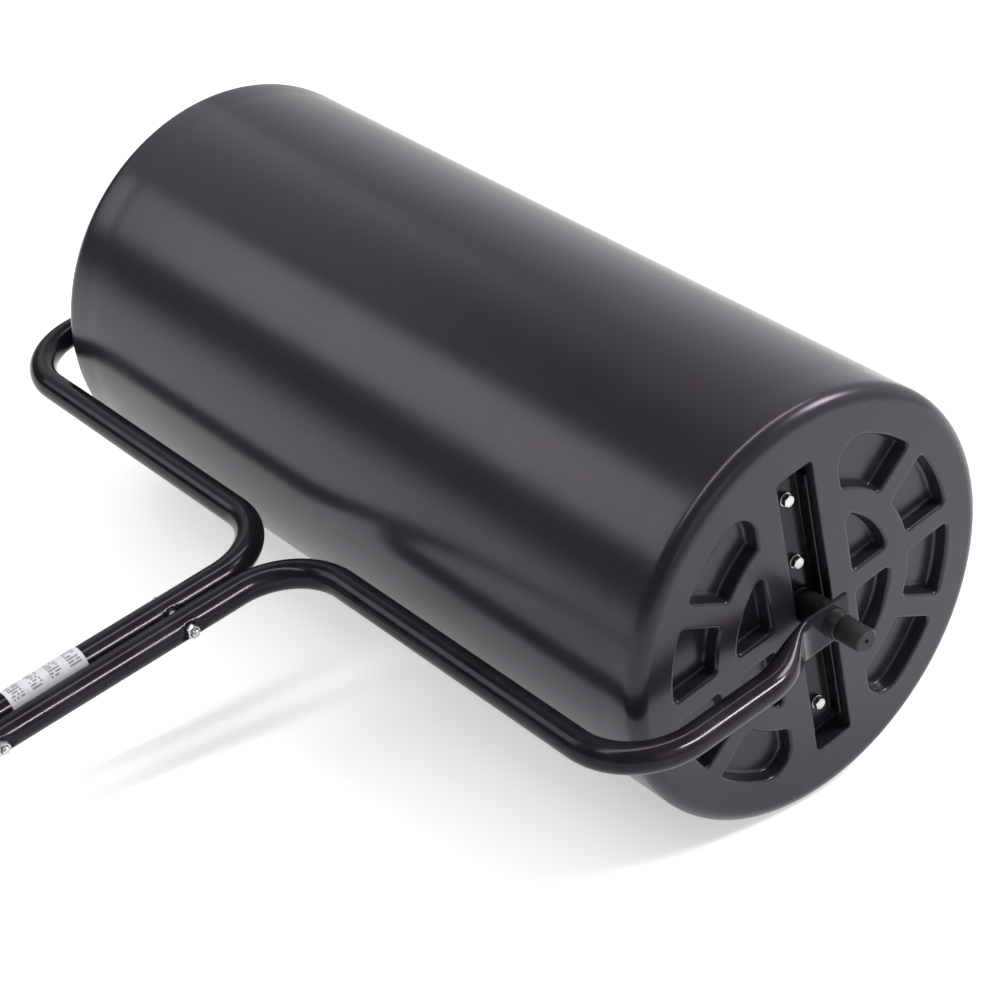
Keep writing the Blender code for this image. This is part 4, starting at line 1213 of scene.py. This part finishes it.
def gasket_rubber():
    """Matt rubber with a powdery bloom."""
    g = Graph("gasket_rubber", (0.020, 0.020, 0.022), 0.78)
    bloom = g.noise(140, 5.0, 0.7)
    grain = g.noise(2600, 2.0, 0.6)
    base = g.tint(g.spread(bloom, 0.45, 0.75), (0.016, 0.016, 0.018), (0.055, 0.055, 0.057))
    return g.finish(base, g.spread(bloom, 0.3, 0.7, 0.68, 0.88), g.bump(grain, 0.2, 0.15 * MM))


def label_film():
    """White film printed with four plain grey blocks of short dashes, none of them lettering."""
    g = Graph("label_film", (0.82, 0.81, 0.86), 0.42, Specular_IOR_Level=0.45)
    flat = g.add("ShaderNodeUVMap", uv_map="print").outputs["UV"]
    parts = g.add("ShaderNodeSeparateXYZ")
    g.join(flat, parts.inputs["Vector"])
    u, v = parts.outputs["X"], parts.outputs["Y"]

    columns, rows, blocks, seed = 40, 12, 4, 7.0

    def both(first, second):
        return g.maths("MULTIPLY", first, second)

    def between(value, low, high):
        return both(g.maths("GREATER_THAN", value, low), g.maths("LESS_THAN", value, high))

    across_block = between(g.maths("FRACT", both(u, blocks), 0), 0.20, 0.80)
    block = both(across_block, between(v, 0.14, 0.86))
    cell = g.add("ShaderNodeCombineXYZ")
    g.join(g.maths("FLOOR", both(u, columns), 0), cell.inputs["X"])
    g.join(g.maths("FLOOR", both(v, rows), 0), cell.inputs["Y"])
    cell.inputs["Z"].default_value = seed
    chance = g.add("ShaderNodeTexWhiteNoise", noise_dimensions="3D")
    g.join(cell.outputs["Vector"], chance.inputs["Vector"])
    line_space = g.maths("LESS_THAN", g.maths("FRACT", both(v, rows), 0), 0.62)
    dashes = both(g.maths("LESS_THAN", chance.outputs["Value"], 0.78), line_space)
    ink = both(dashes, block)
    dirt = g.noise(90, 4.0, 0.6)
    paper = g.tint(g.spread(dirt, 0.4, 0.75), (0.60, 0.585, 0.64), (0.50, 0.49, 0.53))
    base = g.tint(g.maths("MULTIPLY", ink, 0.8), paper, (0.12, 0.12, 0.14))
    return g.finish(base, g.spread(dirt, 0.3, 0.7, 0.34, 0.50), g.bump(dirt, 0.08, 0.15 * MM))


def floor_paper():
    """Pale paper with a faint glow of its own, so that the ground stays white near the drum."""
    g = Graph("floor_paper", (0.9, 0.9, 0.9), 0.9, Emission_Strength=0.5, Emission_Color=(1, 1, 1, 1))
    fibre = g.noise(40, 3.0, 0.6)
    base = g.tint(g.spread(fibre, 0.3, 0.7), (0.80, 0.80, 0.805), (0.82, 0.82, 0.82))
    return g.finish(base)


# The pieces in place


def end_frame(base, side):
    turn = HALF_TURN if side == "left" else Matrix.Identity(4)
    return base @ Matrix.Translation((ENDS[side] * END_HALF, 0, 0)) @ turn


def tongue_place(s, x=0):
    return TONGUE_FRAME @ Matrix.Translation((x, -s, 0))


def spun(degrees):
    """A turn about X, so that no two bolts stand alike."""
    return Matrix.Rotation(math.radians(degrees), 4, "X")


def build_drum(finishes):
    piece("drum_shell_body", drum_mesh(), finishes["drum"], "drum", "drum_shell", DRUM_FRAME)
    place = end_frame(DRUM_FRAME, "left") @ Matrix.Translation((0, *fill_spot()))
    ring = collar("gasket", GASKET_BOTTOM, GASKET_TOP, GASKET, 0.7 * MM)
    piece("fill_plug_cap", plug_mesh(), finishes["plug"], "plug", "fill_plug", place)
    piece("fill_gasket_ring", ring, finishes["rubber"], "plug", "fill_gasket", place)


def build_end_fittings(finishes):
    paint, axle, zinc = finishes["frame"], finishes["axle"], finishes["zinc"]
    bracket, stub, weld, bush = bracket_mesh(), stub_mesh(), weld_mesh(), bush_mesh()
    base = WEB_FRONT + GAP
    spacer = collar("spacer", base, BUSH_FLANGE_START - GAP, AXLE_SPACER, 0.5 * MM)
    washer_top = base + WASHER[2]
    washer = collar("washer", base, washer_top, WASHER[:2], 0.35 * MM, 48)
    bolt = bolt_mesh("bracket_bolt", BRACKET_BOLT, washer_top + GAP, BRACKET_BOLT_TIP, BRACKET_THREAD)
    for side in ENDS:
        end = end_frame(DRUM_FRAME, side)
        piece(f"bracket_{side}", bracket, paint, "drum", f"axle_bracket_{side}", end)
        piece(f"stub_{side}", stub, axle, "drum", f"axle_stub_{side}", end)
        piece(f"spacer_{side}", spacer, axle, "drum", f"axle_spacer_{side}", end)
        piece(f"axle_weld_{side}", weld, paint, "drum", None, end)
        for number, z in enumerate(BOLT_SPOTS, 1):
            spot = end @ Matrix.Translation((0, 0, z)) @ spun(17 * number + 11 * ENDS[side])
            tag = f"{side}_{number}"
            piece(f"bolt_{tag}", bolt, zinc, "drum", f"bracket_bolt_{tag}", spot)
            piece(f"washer_{tag}", washer, zinc, "drum", f"bracket_washer_{tag}", spot)
        seat = end_frame(TONGUE_FRAME, side)
        piece(f"bush_{side}", bush, finishes["bush"], "frame", f"frame_bush_{side}", seat)


def build_frame(finishes):
    """The frame's pieces; returns the two tubes."""
    paint, zinc = finishes["frame"], finishes["zinc"]
    cap = cap_mesh()
    forward = Matrix.Rotation(-math.pi / 2, 4, "Z")
    tubes = []
    for side, sign in ENDS.items():
        tube = tube_mesh(sign)
        tubes.append(piece(f"tube_{side}", tube, paint, "frame", f"frame_tube_{side}", TONGUE_FRAME))
        spot = tongue_place(0, sign * TONGUE_HALF_SPACING) @ forward
        piece(f"cap_{side}", cap, finishes["bush"], "frame", f"tube_cap_{side}", spot)

    face = TONGUE_HALF_SPACING + PINCH_HALF_WIDTH + GAP
    bolt = bolt_mesh("tongue_bolt", TONGUE_BOLT, face, -face - CLAMP_BOLT_PAST, CLAMP_THREAD)
    nut = nut_mesh("tongue_nut", TONGUE_NUT, face)
    half = TONGUE_HALF_SPACING - PINCH_HALF_WIDTH - GAP
    spacer = collar("tongue_spacer", -half, half, TONGUE_SPACER, 0.4 * MM, 48)
    for number, s in enumerate(PINCH_SPOTS, 1):
        spot = tongue_place(s)
        turn = spun(23 * number)
        bolt_place = spot @ HALF_TURN @ turn
        piece(f"cross_bolt_{number}", bolt, zinc, "frame", f"tongue_bolt_{number}", bolt_place)
        piece(f"cross_nut_{number}", nut, zinc, "frame", f"tongue_nut_{number}", spot @ turn)
        piece(f"cross_spacer_{number}", spacer, zinc, "frame", f"tongue_spacer_{number}", spot)
    piece("label_on_tube", label_mesh(), finishes["label"], "frame", "tube_label", TONGUE_FRAME)
    return tubes


def build_hitch(finishes):
    paint, zinc = finishes["frame"], finishes["zinc"]
    for name, side in (("upper", 1), ("lower", -1)):
        strap = strap_mesh(side)
        piece(f"strap_{name}", strap, paint, "frame", f"hitch_strap_{name}", TONGUE_FRAME)
    face = STRAP_INSIDE + STRAP_SHEET + GAP
    bolt = bolt_mesh("hitch_bolt", HITCH_BOLT, face, -face - CLAMP_BOLT_PAST, CLAMP_THREAD)
    nut = nut_mesh("hitch_nut", HITCH_NUT, face)
    up = Matrix.Rotation(-math.pi / 2, 4, "Y")
    down = Matrix.Rotation(math.pi / 2, 4, "Y")
    spots = [(s, x) for s in HITCH_BOLT_SPOTS for x in (-TONGUE_HALF_SPACING, TONGUE_HALF_SPACING)]
    for number, (s, x) in enumerate(spots, 1):
        spot = tongue_place(s, x)
        turn = spun(19 * number)
        piece(f"strap_bolt_{number}", bolt, zinc, "frame", f"hitch_bolt_{number}", spot @ up @ turn)
        piece(f"strap_nut_{number}", nut, zinc, "frame", f"hitch_nut_{number}", spot @ down @ turn)
    piece("pin_of_hitch", pin_mesh(), zinc, "hitch_pin", "hitch_pin", tongue_place(PIN_S) @ up)


# Stage

FLOOR_HALF_SIDE = 14.0
BACKDROP_SIDE = (0, 1, 0)
BACKDROP_RANGE = (-0.05, 0.75, 0.12, 1.1)
BACKDROP_COLOUR = (1, 0.99, 1, 1)
CAMERA_PLACE = (2.0120, -1.6484, 1.4328)
CAMERA_AHEAD = (-0.66575, 0.54842, -0.50597)
CAMERA_LENS = 103.83
CAMERA_CLIP = (0.05, 60)

# Lamps: place and target as offsets from the axle, sides in metres, power in watts
LAMPS = (
    ("side_box", (-1.95, -1.75, 1.5), (-1.95, 0, 0), (2.3, 1.3), 31),
    ("left_panel", (-2.9, 0.0, 2.2), (0, 0, 0), (2.4, 1.4), 8),
    ("top_strip", (-0.10, -0.6, 2.6), (-0.10, -0.6, 0), (0.35, 4.2), 54),
    ("back_box", (1.5, 1.75, 2.2), (0, 0, 0), (0.9, 0.9), 62),
    ("end_fill", (3.0, -0.8, 1.2), (0, 0, 0), (1.8, 1.8), 9),
    ("tube_line", (1.97, 0.6, 1.23), (0, 0.6, 0), (1.8, 0.22), 110),
)


def into_scene(name, data):
    made = bpy.data.objects.new(name, data)
    bpy.context.scene.collection.objects.link(made)
    return made


def aim(item, place, ahead):
    item.location = AXLE + Vector(place)
    item.rotation_euler = Vector(ahead).to_track_quat("-Z", "Y").to_euler()


def build_floor():
    side = FLOOR_HALF_SIDE
    floor = Shell()
    floor.lid(floor.ring([(-side, -side, 0), (side, -side, 0), (side, side, 0), (-side, side, 0)]))
    ground = into_scene("floor", floor.mesh("floor"))
    ground.data.materials.append(floor_paper())


def build_backdrop():
    """A pale world, brighter behind the roller than in front of it."""
    world = bpy.data.worlds.new("studio")
    bpy.context.scene.world = world
    world.use_nodes = True
    tree = world.node_tree
    sky = tree.nodes["Background"]
    sky.inputs["Color"].default_value = BACKDROP_COLOUR
    direction = tree.nodes.new("ShaderNodeTexCoord").outputs["Generated"]
    toward = tree.nodes.new("ShaderNodeVectorMath")
    toward.operation = "DOT_PRODUCT"
    toward.inputs[1].default_value = BACKDROP_SIDE
    shade = tree.nodes.new("ShaderNodeMapRange")
    set_range(shade, *BACKDROP_RANGE)
    tree.links.new(direction, toward.inputs[0])
    tree.links.new(toward.outputs["Value"], shade.inputs["Value"])
    tree.links.new(shade.outputs["Result"], sky.inputs["Strength"])


def build_lamps(tubes):
    """Soft boxes, unseen by the camera; tube_line only draws the thin bright line along the frame tubes."""
    for name, place, target, sides, power in LAMPS:
        data = bpy.data.lights.new(name, "AREA")
        data.shape = "RECTANGLE"
        data.size, data.size_y = sides
        data.energy = power
        lamp = into_scene(name, data)
        lamp.visible_camera = False
        aim(lamp, place, Vector(target) - Vector(place))
        if name == "tube_line":
            lit = bpy.data.collections.new("lit_by_tube_line")
            for tube in tubes:
                lit.objects.link(tube)
            lamp.light_linking.receiver_collection = lit


def build_camera():
    """The photograph's view: from the right and in front, about 30 degrees above the ground."""
    data = bpy.data.cameras.new("camera")
    data.lens = CAMERA_LENS
    data.sensor_width = 36
    data.clip_start, data.clip_end = CAMERA_CLIP
    camera = into_scene("camera", data)
    aim(camera, CAMERA_PLACE, CAMERA_AHEAD)
    bpy.context.scene.camera = camera


def main():
    finishes = {
        "drum": drum_plastic(),
        "frame": frame_paint(),
        "axle": axle_steel(),
        "zinc": zinc_plate(),
        "bush": bush_plastic(),
        "plug": plug_plastic(),
        "rubber": gasket_rubber(),
        "label": label_film(),
    }
    build_drum(finishes)
    build_end_fittings(finishes)
    tubes = build_frame(finishes)
    build_hitch(finishes)
    build_floor()
    build_backdrop()
    build_lamps(tubes)
    build_camera()
    bpy.context.scene.view_settings.view_transform = "Standard"


main()
bpy.context.view_layer.update()
